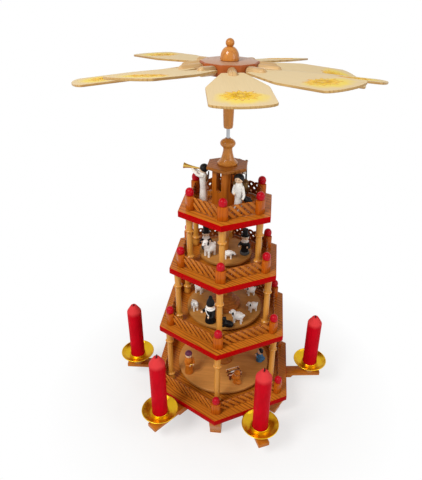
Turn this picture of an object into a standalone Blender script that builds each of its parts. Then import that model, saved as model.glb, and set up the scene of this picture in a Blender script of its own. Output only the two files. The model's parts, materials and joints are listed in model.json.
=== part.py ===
"""Christmas pyramid: a stand of four hexagonal tiers, a shaft that carries three figure discs and a wheel of
ten blades, and six candle arms that swivel under the base.

Metres, +Z up. The origin is on the shaft's axis at the level that the feet stand on. The front corner of each
hexagon points along -Y.
"""

import math

import bmesh
import bpy
from mathutils import Matrix, Vector

# Fits
GAP = 0.0003  # left between two pieces that touch
MERGE = 0.00001

# Stand: plates, feet and columns
BASE_RADIUS = 0.092  # hexagon, centre to corner
SECOND_SETBACK = 0.0125  # how much smaller each plate is than the one below
THIRD_SETBACK = 0.0145
TOP_SETBACK = 0.0114
PLATE_THICKNESS = 0.0066
FOOT_HEIGHT = 0.0238
FOOT_THICKNESS = 0.013
FOOT_LENGTH = 0.027
FOOT_INSET = 0.0035  # from the corner of the base plate
FOOT_OGEE = 0.007  # how far the outer end draws in towards the floor
LOWER_COLUMN_LENGTH = 0.078
MIDDLE_COLUMN_LENGTH = 0.0668
UPPER_COLUMN_LENGTH = 0.0579
COLUMN_RADIUS = 0.0033
COLUMN_RING_RADIUS = 0.0045
COLUMN_RING_HEIGHT = 0.0022
COLUMN_HEAD_RADIUS = 0.0038
COLUMN_HEAD_HEIGHT = 0.0165  # head above the upper ring
COLUMN_FOOT_HEIGHT = 0.0085  # foot below the lower ring
COLUMN_TO_POST = 0.0022
SHAFT_HOLE_CLEARANCE = 0.002

# Balustrades
POST_INSET = 0.0135  # post's centre from the corner of its plate
POST_WIDTH = 0.0108
POST_DEPTH = 0.0076
POST_HEIGHT = 0.0147
CAP_RADIUS = 0.0043
CAP_HEIGHT = 0.0085
LATTICE_BELOW_POST = 0.0007  # top of the slats, under the top of the posts
LATTICE_THICKNESS = 0.0024
LATTICE_LIFT = 0.0004
LATTICE_EDGE = 0.00065  # left above and below the two rows of holes
LATTICE_SLAT = 0.0036
LATTICE_BOW = 0.0003

# Lantern
LANTERN_RADIUS = 0.0165
LANTERN_HEIGHT = 0.0386
LANTERN_BORE = 0.0105
WINDOW_WIDTH = 0.006
WINDOW_SILL = 0.0155
ROOF_RADIUS = 0.0226
ROOF_THICKNESS = 0.0032
SPIRE_BASE_RADIUS = 0.0102
SPIRE_NECK_RADIUS = 0.0047
SPIRE_CONE_HEIGHT = 0.0163
SPIRE_BALL_RADIUS = 0.0076
SPIRE_BALL_HEIGHT = 0.0100

# Shaft, bearing and discs
SHAFT_RADIUS = 0.0035
ROD_RADIUS = 0.00175
ROD_SOCKET = 0.020
ROD_SHOWING = 0.0098  # between the spire and the wheel
SHAFT_TOP_BELOW_ROOF = 0.006
CUP_RADIUS = 0.004
CUP_DEPTH = 0.0032
CUP_DIMPLE = 0.0018
DISC_THICKNESS = 0.0034
DISC_LIFT = 0.0042  # disc's underside above its plate
DISC_TO_COLUMN = 0.0124
LOWER_PLINTH_RADIUS = 0.012
LOWER_PLINTH_HEIGHT = 0.018
MIDDLE_PLINTH_RADIUS = 0.0185
MIDDLE_PLINTH_STEP = 0.0048  # each of three steps, up and in

# Wheel
BLADE_COUNT = 10
WHEEL_PHASE = math.radians(-83)  # azimuth of the first blade at rest
HUB_RADIUS = 0.0270  # ten-sided, centre to corner
HUB_THICKNESS = 0.0103
SLEEVE_LENGTH = 0.051
SLEEVE_RADIUS = 0.0053
SLEEVE_TIP_RADIUS = 0.0046
FINIAL_RADIUS = 0.0086
FINIAL_DOME_HEIGHT = 0.0112
FINIAL_BALL_RADIUS = 0.0039
TENON_RADIUS = 0.003
TENON_LENGTH = 0.0085
DOWEL_RADIUS = 0.0042
DOWEL_STANDOFF = 0.0011  # shoulder from the hub's flat, so that a skewed dowel clears it
DOWEL_LENGTH = 0.0205  # from its shoulder to its rounded end
BLADE_ROOT = 0.0072  # first of the blade, out from its dowel's shoulder
BLADE_LENGTH = 0.1041
BLADE_SHOULDER = 0.0493  # from the blade's root to its widest place
BLADE_TIP_ARC = 0.009  # height of the rounded end
BLADE_ROOT_WIDTH = 0.0194
BLADE_WIDTH = 0.0486
BLADE_TIP_WIDTH = 0.0474
BLADE_THICKNESS = 0.0018
# How each hand-set blade stands at rest, in degrees: off its even place, drooping, and turned about its dowel
BLADE_SKEWS = (2.4, 1.5, 1, -1.5, 4, 2, 2, -1, -2, 1.6)
BLADE_DROOPS = (1.2, -2.7, 2.2, 9, 5.4, 8, 3.2, 11.4, 4.8, -5)
BLADE_PITCHES = (1.4, 1.9, -7.5, 10, -5.1, 0, 0.9, 5.3, 4.8, 5)

# Candle arms
ARM_PIVOT_INSET = 0.0277  # from the edge of the base plate
ARM_OVERHANG = 0.0423
ARM_HEEL = 0.009
ARM_WIDTH = 0.0128
ARM_THICKNESS = 0.0046
ARM_ROOT_THICKNESS = 0.0076
ARM_ROOT_SHOWING = 0.006
PEG_RADIUS = 0.003
PEG_HEIGHT = 0.0042
HOLDER_OVERHANG = 0.0291  # candle's centre from the edge of the base plate
HOLDER_HEIGHT = 0.0117
HOLDER_FOOT_RADIUS = 0.0058
HOLDER_TOP_RADIUS = 0.0086
DISH_RADIUS = 0.0202
DISH_HEIGHT = 0.0056
DISH_WALL = 0.0008
COLLAR_HEIGHT = 0.0032
CANDLE_RADIUS = 0.0085
CANDLE_LENGTH = 0.081
CANDLE_BURNT = (0, 0.010, 0.003, 0.003, 0.005, 0.001)  # how much shorter each one is
CANDLE_TAPER = 0.009
CANDLE_TIP_RADIUS = 0.0036
ARM_SWINGS = [math.radians(degrees) for degrees in (-5, 8, 4, -6, 3, -8)]

# Figures
ANGEL_HEIGHT = 0.039
ANGEL_RADIUS = 0.0044
ANGEL_AZIMUTHS = [math.radians(degrees) for degrees in (176, -57, 66)]
TRUMPET_LENGTH = 0.017
TRUMPET_RADIUS = 0.0026
MAN_HEIGHT = 0.030
MAN_RADIUS = 0.0046
MAN_AZIMUTHS = [math.radians(degrees) for degrees in (178, -15)]
SHEPHERD_HEIGHT = 0.036
SHEPHERD_RADIUS = 0.005
SHEPHERD_AZIMUTH = math.radians(-110)
KING_HEIGHT = 0.032
KING_RADIUS = 0.005
KING_AZIMUTH = math.radians(-143)
MANGER_LENGTH = 0.014
MANGER_WIDTH = 0.008
MANGER_FOOT_WIDTH = 0.005
MANGER_HEIGHT = 0.009
MANGER_AZIMUTH = math.radians(-62)
FIGURE_INSET = 0.0022  # from the disc's rim to a figure's skirt

# Places worked out from the sizes above
CORNERS = [math.radians(60 * k - 90) for k in range(6)]
EDGES = [math.radians(60 * k - 60) for k in range(6)]
EDGE_SHARE = math.cos(math.radians(30))  # apothem of a hexagon over its radius
LATTICE_HEIGHT = POST_HEIGHT - LATTICE_LIFT - LATTICE_BELOW_POST
# Along the panel, between the holes of one row, so that two staggered rows of square holes fill its height
LATTICE_PITCH = (LATTICE_HEIGHT - 2 * LATTICE_EDGE + math.sqrt(2) * LATTICE_SLAT) / 1.5
TIER_RADII = [BASE_RADIUS]
for setback in (SECOND_SETBACK, THIRD_SETBACK, TOP_SETBACK):
    TIER_RADII.append(TIER_RADII[-1] - setback)
COLUMN_LENGTHS = (LOWER_COLUMN_LENGTH, MIDDLE_COLUMN_LENGTH, UPPER_COLUMN_LENGTH)
PLATE_TOPS = [FOOT_HEIGHT + GAP + PLATE_THICKNESS]
for length in COLUMN_LENGTHS:
    PLATE_TOPS.append(PLATE_TOPS[-1] + GAP + length + PLATE_THICKNESS)
COLUMN_INSET = POST_INSET + POST_DEPTH / 2 + COLUMN_TO_POST + COLUMN_RING_RADIUS
COLUMN_CIRCLES = [radius - COLUMN_INSET for radius in TIER_RADII[:3]]
DISC_RADII = [circle - DISC_TO_COLUMN for circle in COLUMN_CIRCLES]
DISC_TOPS = [top + DISC_LIFT + DISC_THICKNESS for top in PLATE_TOPS[:3]]
ARM_TOP = FOOT_HEIGHT
ARM_PIVOT_RADIUS = BASE_RADIUS * EDGE_SHARE - ARM_PIVOT_INSET
HOLDER_REACH = ARM_PIVOT_INSET + HOLDER_OVERHANG
DISH_SEAT = ARM_TOP + HOLDER_HEIGHT + GAP
LANTERN_FOOT = PLATE_TOPS[3] + GAP
LANTERN_TOP = LANTERN_FOOT + LANTERN_HEIGHT
ROOF_TOP = LANTERN_TOP + GAP + ROOF_THICKNESS
SPIRE_FOOT = ROOF_TOP
SPIRE_TOP = SPIRE_FOOT + SPIRE_CONE_HEIGHT + SPIRE_BALL_HEIGHT
SLEEVE_FOOT = SPIRE_TOP + ROD_SHOWING
HUB_FOOT = SLEEVE_FOOT + SLEEVE_LENGTH
HUB_TOP = HUB_FOOT + HUB_THICKNESS
HUB_FLAT = HUB_RADIUS * math.cos(math.pi / BLADE_COUNT)
DOWEL_SHOULDER = HUB_FLAT + DOWEL_STANDOFF
BLADE_AXIS_HEIGHT = HUB_FOOT + HUB_THICKNESS / 2
SHAFT_TOP = LANTERN_TOP - SHAFT_TOP_BELOW_ROOF
CUP_POCKET_FLOOR = PLATE_TOPS[0] - CUP_DEPTH
CUP_TOP = CUP_POCKET_FLOOR + GAP + CUP_DEPTH
SHAFT_TIP = CUP_TOP - CUP_DIMPLE + GAP
TOP_FENCE_APOTHEM = (TIER_RADII[3] - POST_INSET) * EDGE_SHARE - LATTICE_THICKNESS
ANGEL_CIRCLE = (LANTERN_RADIUS + TOP_FENCE_APOTHEM) / 2

for old in list(bpy.data.objects):
    bpy.data.objects.remove(old)
PARTS = bpy.data.collections.new("christmas_pyramid")
HELPERS = bpy.data.collections.new("cutters")
bpy.context.scene.collection.children.link(PARTS)
bpy.context.scene.collection.children.link(HELPERS)


def finish(name, colour, roughness, metallic=0.0):
    made = bpy.data.materials.new(name)
    made.use_nodes = True
    shader = made.node_tree.nodes["Principled BSDF"]
    shader.inputs["Base Color"].default_value = (*colour, 1)
    shader.inputs["Roughness"].default_value = roughness
    shader.inputs["Metallic"].default_value = metallic
    return made


HONEY_WOOD = finish("honey_wood", (0.55, 0.22, 0.05), 0.4)
RED_PLATE = finish("red_edged_plate", (0.52, 0.06, 0.02), 0.4)
BROWN_WOOD = finish("brown_wood", (0.33, 0.08, 0.02), 0.45)
TAN_BOARD = finish("tan_board", (0.40, 0.21, 0.06), 0.55)
PALE_BLADE = finish("pale_blade", (0.80, 0.66, 0.36), 0.55)
STEEL = finish("steel", (0.55, 0.55, 0.56), 0.3, 1.0)
BRASS = finish("brass", (0.70, 0.45, 0.06), 0.25, 1.0)
WAX = finish("red_wax", (0.50, 0.003, 0.012), 0.5)
WHITE_PAINT = finish("white_paint", (0.80, 0.77, 0.70), 0.4)
BLACK_PAINT = finish("black_paint", (0.01, 0.01, 0.011), 0.35)
ORANGE_PAINT = finish("orange_paint", (0.56, 0.17, 0.02), 0.45)


def add(name, mesh, surface=None, parent=None):
    """A part where a surface is given, and otherwise a helper that only cuts or joins."""
    obj = bpy.data.objects.new(name, mesh)
    obj.parent = parent
    if surface is None:
        HELPERS.objects.link(obj)
        obj.hide_render = True
        obj.display_type = "WIRE"
    else:
        PARTS.objects.link(obj)
        mesh.materials.clear()
        mesh.materials.append(surface)
    return obj


def pivot(name, parent=None, at=(0, 0, 0), turn=(0, 0, 0)):
    """An empty on a joint's axis."""
    empty = bpy.data.objects.new(name, None)
    empty.parent = parent
    empty.location = at
    empty.rotation_euler = turn
    PARTS.objects.link(empty)
    return empty


def baked(obj):
    """The mesh of an evaluated object, welded and facing out. The object itself is removed."""
    bpy.context.view_layer.update()
    graph = bpy.context.evaluated_depsgraph_get()
    mesh = bpy.data.meshes.new_from_object(obj.evaluated_get(graph))
    bpy.data.objects.remove(obj)
    work = bmesh.new()
    work.from_mesh(mesh)
    bmesh.ops.remove_doubles(work, verts=work.verts, dist=MERGE)
    bmesh.ops.recalc_face_normals(work, faces=work.faces)
    work.to_mesh(mesh)
    work.free()
    return mesh


def moved(mesh, matrix):
    mesh.transform(matrix)
    return mesh


def gathered(name, mesh, matrices):
    """One mesh that holds a copy of the given one at each matrix."""
    work = bmesh.new()
    for matrix in matrices:
        copy = mesh.copy()
        copy.transform(matrix)
        work.from_mesh(copy)
        bpy.data.meshes.remove(copy)
    made = bpy.data.meshes.new(name)
    work.to_mesh(made)
    work.free()
    return made


def turned(name, profile, sides, surface=None, parent=None, ring=False):
    """A profile of (radius, height) pairs, down its outer side, turned about Z."""
    mesh = bpy.data.meshes.new(name)
    edges = [(k, k + 1) for k in range(len(profile) - 1)]
    if ring:
        edges.append((len(profile) - 1, 0))
    mesh.from_pydata([(radius, 0, height) for radius, height in profile], edges, [])
    obj = add(name, mesh, surface, parent)
    screw = obj.modifiers.new("Turn", "SCREW")
    screw.steps = sides
    screw.render_steps = sides
    screw.use_merge_vertices = True
    screw.merge_threshold = MERGE
    return obj


def prism(name, sides, radius, bottom, top, turn=0.0):
    """A mesh of an upright prism with a corner towards +Y, turned about Z."""
    work = bmesh.new()
    middle = Matrix.Translation((0, 0, (bottom + top) / 2)) @ Matrix.Rotation(turn, 4, "Z")
    bmesh.ops.create_cone(
        work, cap_ends=True, segments=sides, radius1=radius, radius2=radius, depth=top - bottom, matrix=middle
    )
    mesh = bpy.data.meshes.new(name)
    work.to_mesh(mesh)
    work.free()
    return mesh


def board(name, outlines, thickness):
    """A mesh of a flat board in the XY plane. Outlines inside the first one are its holes."""
    curve = bpy.data.curves.new(name, "CURVE")
    curve.dimensions = "2D"
    curve.fill_mode = "BOTH"
    curve.extrude = thickness / 2
    for outline in outlines:
        spline = curve.splines.new("POLY")
        spline.points.add(len(outline) - 1)
        for point, (x, y) in zip(spline.points, outline):
            point.co = (x, y, 0, 1)
        spline.use_cyclic_u = True
    return baked(add(name, curve))


def upright(mesh):
    """Stands a board from the XY plane up in the XZ plane."""
    return moved(mesh, Matrix.Rotation(math.pi / 2, 4, "X"))


def combine(obj, tool, operation):
    modifier = obj.modifiers.new(operation.title(), "BOOLEAN")
    modifier.operation = operation
    modifier.solver = "EXACT"
    modifier.object = tool


def polar(radius, angle, height=0.0):
    return (radius * math.cos(angle), radius * math.sin(angle), height)


def around(radius, angles):
    """A matrix for each angle: out to the radius along X, then turned about Z."""
    return [Matrix.Rotation(angle, 4, "Z") @ Matrix.Translation((radius, 0, 0)) for angle in angles]


def arc(centre, radii, start, end, steps):
    """Points along an elliptical arc, both ends included, angles in degrees."""
    points = []
    for k in range(steps + 1):
        angle = math.radians(start + (end - start) * k / steps)
        points.append((centre[0] + radii[0] * math.cos(angle), centre[1] + radii[1] * math.sin(angle)))
    return points


def base_plate():
    bottom = FOOT_HEIGHT + GAP
    plate = add("base_plate", prism("base_plate", 6, BASE_RADIUS, bottom, PLATE_TOPS[0]), RED_PLATE)
    hole = prism("peg_hole", 8, PEG_RADIUS + GAP, bottom - PEG_HEIGHT, bottom + PEG_HEIGHT)
    holes = gathered("peg_holes", hole, around(ARM_PIVOT_RADIUS, EDGES))
    combine(plate, add("peg_holes", holes), "DIFFERENCE")
    pocket = prism("cup_pocket", 10, CUP_RADIUS + GAP, CUP_POCKET_FLOOR, PLATE_TOPS[0] + CUP_DEPTH)
    combine(plate, add("cup_pocket", pocket), "DIFFERENCE")


def feet():
    outer = BASE_RADIUS - FOOT_INSET
    steps = 6
    outline = [(outer - FOOT_LENGTH, FOOT_HEIGHT)]
    for k in range(steps + 1):
        share = k / steps
        drawn_in = FOOT_OGEE * (1 - math.cos(math.pi * share)) / 2
        outline.append((outer - drawn_in, FOOT_HEIGHT * (1 - share)))
    outline.append((outer - FOOT_LENGTH + FOOT_OGEE, 0))
    mesh = upright(board("foot", [outline], FOOT_THICKNESS))
    for number, angle in enumerate(CORNERS, 1):
        foot = add(f"foot_{number}", mesh.copy(), HONEY_WOOD)
        foot.rotation_euler.z = angle


def column_profile(length):
    """A turned column with a foot, two rings and a long head. It runs on into the plate above."""
    half_ring = COLUMN_RING_HEIGHT / 2
    lower = COLUMN_FOOT_HEIGHT + half_ring
    upper = length - COLUMN_HEAD_HEIGHT - half_ring
    into_plate = length + PLATE_THICKNESS / 2
    foot_radius = COLUMN_RING_RADIUS * 0.93
    return [
        (0, into_plate),
        (foot_radius, into_plate),
        (COLUMN_HEAD_RADIUS, upper + half_ring),
        (COLUMN_RING_RADIUS, upper),
        (COLUMN_RADIUS, upper - half_ring),
        (COLUMN_RADIUS, lower + half_ring),
        (COLUMN_RING_RADIUS, lower),
        (COLUMN_HEAD_RADIUS, lower - half_ring),
        (foot_radius, 0),
        (0, 0),
    ]


def upper_plates():
    """The second to fourth plates, each joined with the six columns that carry it."""
    for tier in (1, 2, 3):
        top = PLATE_TOPS[tier]
        name = f"tier_plate_{tier + 1}"
        plate = add(name, prism(name, 6, TIER_RADII[tier], top - PLATE_THICKNESS, top), RED_PLATE)
        column = baked(turned("column", column_profile(COLUMN_LENGTHS[tier - 1]), 8))
        moved(column, Matrix.Translation((0, 0, PLATE_TOPS[tier - 1] + GAP)))
        columns = gathered("columns", column, around(COLUMN_CIRCLES[tier - 1], CORNERS))
        combine(plate, add("columns", columns), "UNION")
        bore = SHAFT_RADIUS + SHAFT_HOLE_CLEARANCE
        hole = prism("shaft_hole", 12, bore, top - 2 * PLATE_THICKNESS, top + PLATE_THICKNESS)
        combine(plate, add("shaft_hole", hole), "DIFFERENCE")


def lattice_panel(span):
    """A panel of crossed slats: an upright board with two staggered rows of diamond holes."""
    half = span / 2 - LATTICE_THICKNESS  # its ends lie inside the posts, short of the next panel
    outlines = [[(-half, 0), (half, 0), (half, LATTICE_HEIGHT), (-half, LATTICE_HEIGHT)]]
    row_rise = LATTICE_PITCH / 4
    reach = LATTICE_PITCH / 2 - LATTICE_SLAT / math.sqrt(2)
    widest = (span - POST_WIDTH) / 2 - reach - LATTICE_SLAT / 2
    for row, offset in ((-1, 0.0), (1, LATTICE_PITCH / 2)):
        fit = int((widest - offset) / LATTICE_PITCH)
        places = [offset + k * LATTICE_PITCH for k in range(fit + 1)]
        for x in sorted({side * place for place in places for side in (-1, 1)}):
            # A row bows a little, so that the fill spans no three tips in one line with a face of no area
            middle = LATTICE_HEIGHT / 2 + row * (row_rise - LATTICE_BOW * (x / half) ** 2)
            sides = [(x - reach, middle), (x, middle - reach), (x + reach, middle), (x, middle + reach)]
            outlines.append(sides)
    return upright(board("lattice_panel", outlines, LATTICE_THICKNESS))


def post_with_cap():
    """A post of rounded section, wider along the fence, with its red cap: its outer face towards +X."""
    body = prism("post", 8, 0.5, 0, POST_HEIGHT, math.radians(22.5))
    across = 1 / math.cos(math.radians(22.5))
    moved(body, Matrix.Diagonal((POST_DEPTH * across, POST_WIDTH * across, 1, 1)))
    post = add("post", body)
    sunk = CAP_HEIGHT / 10
    dome = arc((0, 0), (CAP_RADIUS, CAP_HEIGHT + sunk), 90, 0, 3)
    profile = [(max(radius, 0), POST_HEIGHT - sunk + height) for radius, height in dome]
    cap = turned("cap", [(0, profile[0][1]), *profile[1:], (0, POST_HEIGHT - sunk)], 8)
    combine(post, cap, "UNION")
    return baked(post)


def balustrades():
    post = post_with_cap()
    for tier, radius in enumerate(TIER_RADII):
        circle = radius - POST_INSET
        name = f"balustrade_{tier + 1}"
        floor = Matrix.Translation((0, 0, PLATE_TOPS[tier] + GAP))
        posts = moved(gathered(name, post, around(circle, CORNERS)), floor)
        ring = add(name, posts, HONEY_WOOD)
        panel = moved(lattice_panel(circle), Matrix.Rotation(math.pi / 2, 4, "Z"))
        panels = gathered("panels", panel, around(circle * EDGE_SHARE, EDGES))
        moved(panels, floor @ Matrix.Translation((0, 0, LATTICE_LIFT)))
        combine(ring, add("panels", panels), "UNION")


def lantern():
    turret = add("lantern", prism("lantern", 6, LANTERN_RADIUS, LANTERN_FOOT, LANTERN_TOP), HONEY_WOOD)
    above = LANTERN_TOP + ROOF_THICKNESS
    bore = prism("lantern_bore", 16, LANTERN_BORE, LANTERN_FOOT - ROOF_THICKNESS, above)
    combine(turret, add("lantern_bore", bore), "DIFFERENCE")
    half = WINDOW_WIDTH / 2
    sill = LANTERN_FOOT + WINDOW_SILL
    outline = [*arc((0, sill + half), (half, half), 180, 360, 6), (half, above), (-half, above)]
    window = upright(board("window", [outline], 4 * LANTERN_RADIUS))
    for angle in EDGES[:3]:
        cutter = add("window", window.copy())
        cutter.rotation_euler.z = angle + math.pi / 2
        combine(turret, cutter, "DIFFERENCE")


def roof_and_spire():
    """The turned spire is glued into the roof, so both are one piece."""
    roof = add("lantern_roof", prism("lantern_roof", 6, ROOF_RADIUS, LANTERN_TOP + GAP, ROOF_TOP), HONEY_WOOD)
    bore = ROD_RADIUS + SHAFT_HOLE_CLEARANCE
    hole = prism("roof_hole", 12, bore, LANTERN_TOP - ROOF_THICKNESS, ROOF_TOP + ROOF_THICKNESS)
    combine(roof, add("roof_hole", hole), "DIFFERENCE")
    bore = ROD_RADIUS + GAP
    into_roof = ROOF_TOP - ROOF_THICKNESS / 2
    neck_height = SPIRE_FOOT + SPIRE_CONE_HEIGHT
    ball_middle = neck_height + SPIRE_BALL_HEIGHT / 2
    ball = arc((0, ball_middle), (SPIRE_BALL_RADIUS, SPIRE_BALL_HEIGHT / 2), 60, -50, 4)
    flare = []
    for k in range(1, 5):
        share = k / 4
        swell = (SPIRE_BASE_RADIUS - SPIRE_NECK_RADIUS) * share**1.8
        flare.append((SPIRE_NECK_RADIUS + swell, neck_height - share * SPIRE_CONE_HEIGHT * 0.9))
    profile = [
        (bore, SPIRE_TOP),
        *ball,
        (SPIRE_NECK_RADIUS, neck_height),
        *flare,
        (SPIRE_BASE_RADIUS * 0.94, SPIRE_FOOT),
        (SPIRE_BASE_RADIUS * 0.94, into_roof),
        (bore, into_roof),
    ]
    combine(roof, turned("spire", profile, 14, ring=True), "UNION")


def bearing():
    cup_foot = CUP_POCKET_FLOOR + GAP
    dimple_radius = ROD_RADIUS + 3 * GAP
    rim = [(dimple_radius, CUP_TOP), (CUP_RADIUS, CUP_TOP), (CUP_RADIUS, cup_foot)]
    turned("pivot_cup", [(0, CUP_TOP - CUP_DIMPLE), *rim, (0, cup_foot)], 10, STEEL)


def shaft(rotor):
    socket_floor = SHAFT_TOP - ROD_SOCKET
    socket = ROD_RADIUS + GAP
    wood_foot = CUP_TOP + GAP
    profile = [
        (0, socket_floor),
        (socket, socket_floor),
        (socket, SHAFT_TOP),
        (SHAFT_RADIUS, SHAFT_TOP),
        (SHAFT_RADIUS, wood_foot),
        (ROD_RADIUS, wood_foot),
        (0, SHAFT_TIP),
    ]
    turned("centre_shaft", profile, 12, HONEY_WOOD, rotor)
    rod_top = HUB_TOP - HUB_THICKNESS / 4 - GAP
    rod_foot = socket_floor + GAP
    rod = [(0, rod_top), (ROD_RADIUS, rod_top), (ROD_RADIUS, rod_foot), (0, rod_foot)]
    turned("top_rod", rod, 12, STEEL, rotor)


def figure_discs(rotor):
    bore = SHAFT_RADIUS + GAP
    step = MIDDLE_PLINTH_STEP
    stairs = [(2, 3), (2, 2), (1, 2), (1, 1), (0, 1), (0, 0)]  # steps in from the rim, steps up
    plinths = [
        [(LOWER_PLINTH_RADIUS * 0.7, LOWER_PLINTH_HEIGHT), (LOWER_PLINTH_RADIUS, 0)],
        [(MIDDLE_PLINTH_RADIUS - step * inward, step * up) for inward, up in stairs],
        [],
    ]
    for number, (radius, top, plinth) in enumerate(zip(DISC_RADII, DISC_TOPS, plinths), 1):
        rise = [(reach, top + height) for reach, height in plinth]
        first = rise[0][1] if rise else top
        outer = [(radius, top), (radius, top - DISC_THICKNESS), (bore, top - DISC_THICKNESS)]
        turned(f"figure_disc_{number}", [(bore, first), *rise, *outer], 24, TAN_BOARD, rotor, ring=True)


def blade_axes(rotor):
    """An empty for each blade: X out along its dowel, Z up through it. A dowel droops from its shoulder."""
    shoulder = Vector((DOWEL_SHOULDER, 0, 0))
    axes = []
    for k, (skew, droop, pitch) in enumerate(zip(BLADE_SKEWS, BLADE_DROOPS, BLADE_PITCHES)):
        azimuth = WHEEL_PHASE + k * 2 * math.pi / BLADE_COUNT + math.radians(skew)
        round_hub = Matrix.Rotation(azimuth, 3, "Z")
        down = Matrix.Rotation(math.radians(droop), 3, "Y")
        turn = round_hub @ down @ Matrix.Rotation(math.radians(pitch), 3, "X")
        place = round_hub @ shoulder - turn @ shoulder + Vector((0, 0, BLADE_AXIS_HEIGHT))
        axes.append(pivot(f"blade_axis_{k + 1}", rotor, place, turn.to_euler()))
    return axes


def hub(rotor, axes):
    turn = WHEEL_PHASE + math.pi / BLADE_COUNT - math.pi / 2
    block = prism("wheel_hub", BLADE_COUNT, HUB_RADIUS, HUB_FOOT, HUB_TOP, turn)
    body = add("wheel_hub", block, BROWN_WOOD, rotor)
    waist = SLEEVE_FOOT + SLEEVE_LENGTH / 3
    into_hub = HUB_FOOT + HUB_THICKNESS / 3
    sleeve = [
        (0, into_hub),
        (SLEEVE_RADIUS, into_hub),
        (SLEEVE_RADIUS, waist),
        (SLEEVE_TIP_RADIUS, SLEEVE_FOOT),
        (0, SLEEVE_FOOT),
    ]
    combine(body, turned("sleeve", sleeve, 16, parent=rotor), "UNION")
    bore = prism("rod_bore", 12, ROD_RADIUS + GAP, SLEEVE_FOOT - SLEEVE_LENGTH, HUB_TOP - HUB_THICKNESS / 4)
    combine(body, add("rod_bore", bore, parent=rotor), "DIFFERENCE")
    inner = DOWEL_SHOULDER - TENON_LENGTH - GAP
    socket = prism("socket", 8, TENON_RADIUS + GAP, inner, HUB_RADIUS + TENON_LENGTH)
    moved(socket, Matrix.Rotation(math.pi / 2, 4, "Y"))
    for axis in axes:
        combine(body, add("socket", socket.copy(), parent=axis), "DIFFERENCE")


def finial(rotor):
    foot = HUB_TOP + GAP
    ball_middle = foot + FINIAL_DOME_HEIGHT + FINIAL_BALL_RADIUS * 0.85
    ball = arc((0, ball_middle), (FINIAL_BALL_RADIUS, FINIAL_BALL_RADIUS), 90, -50, 5)
    dome = arc((0, foot), (FINIAL_RADIUS, FINIAL_DOME_HEIGHT), 65, 0, 4)
    turned("finial", [(0, ball[0][1]), *ball[1:], *dome, (0, foot)], 14, HONEY_WOOD, rotor)


def blade_outline(root):
    """Half-hexagon root, widest at the shoulder, gently narrower to a rounded tip."""
    shoulder = root + BLADE_SHOULDER
    tip = root + BLADE_LENGTH
    corner = tip - BLADE_TIP_ARC
    half = [(root, BLADE_ROOT_WIDTH / 2), (shoulder, BLADE_WIDTH / 2), (corner, BLADE_TIP_WIDTH / 2)]
    end = arc((corner, 0), (BLADE_TIP_ARC, BLADE_TIP_WIDTH / 2), -90, 90, 6)
    return [(x, -y) for x, y in half[:2]] + end + list(reversed(half[:2]))


def blades(axes):
    """Each blade is glued in the slit of its dowel, whose tenon turns in the hub."""
    shoulder = DOWEL_SHOULDER
    round_end = arc((0, shoulder + DOWEL_LENGTH - DOWEL_RADIUS), (DOWEL_RADIUS, DOWEL_RADIUS), 90, 0, 3)
    profile = [
        (0, round_end[0][1]),
        *round_end[1:],
        (DOWEL_RADIUS, shoulder),
        (TENON_RADIUS, shoulder),
        (TENON_RADIUS, shoulder - TENON_LENGTH),
        (0, shoulder - TENON_LENGTH),
    ]
    dowel = moved(baked(turned("dowel", profile, 8)), Matrix.Rotation(math.pi / 2, 4, "Y"))
    sheet = board("blade", [blade_outline(shoulder + BLADE_ROOT)], BLADE_THICKNESS)
    for number, axis in enumerate(axes, 1):
        blade = add(f"blade_{number}", sheet.copy(), PALE_BLADE, axis)
        combine(blade, add("dowel", dowel.copy(), parent=axis), "UNION")


def arm_outline():
    """Side view of an arm: a flat bar whose thicker root steps up in an ogee just outside the plate."""
    end = ARM_PIVOT_INSET + ARM_OVERHANG
    step_start = ARM_PIVOT_INSET + ARM_ROOT_SHOWING
    step = ARM_ROOT_THICKNESS - ARM_THICKNESS
    ogee = []
    for k in range(5):
        share = k / 4
        depth = ARM_THICKNESS + step * (1 - math.cos(math.pi * share)) / 2
        ogee.append((step_start + step * (1 - share), -depth))
    return [(-ARM_HEEL, 0), (end, 0), (end, -ARM_THICKNESS), *ogee, (-ARM_HEEL, -ARM_ROOT_THICKNESS)]


def dish_profile():
    """A thin dished saucer with a collar that the candle stands in."""
    wall = DISH_WALL
    collar = CANDLE_RADIUS + GAP
    floor = collar + wall
    middle = (floor + DISH_RADIUS) / 2
    return [
        (0, wall),
        (collar, wall),
        (collar, COLLAR_HEIGHT),
        (floor, COLLAR_HEIGHT),
        (floor, wall),
        (middle, wall + DISH_HEIGHT * 0.3),
        (DISH_RADIUS - wall, DISH_HEIGHT),
        (DISH_RADIUS, DISH_HEIGHT - wall / 2),
        (middle + wall / 2, DISH_HEIGHT * 0.3),
        (floor, 0),
        (0, 0),
    ]


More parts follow.
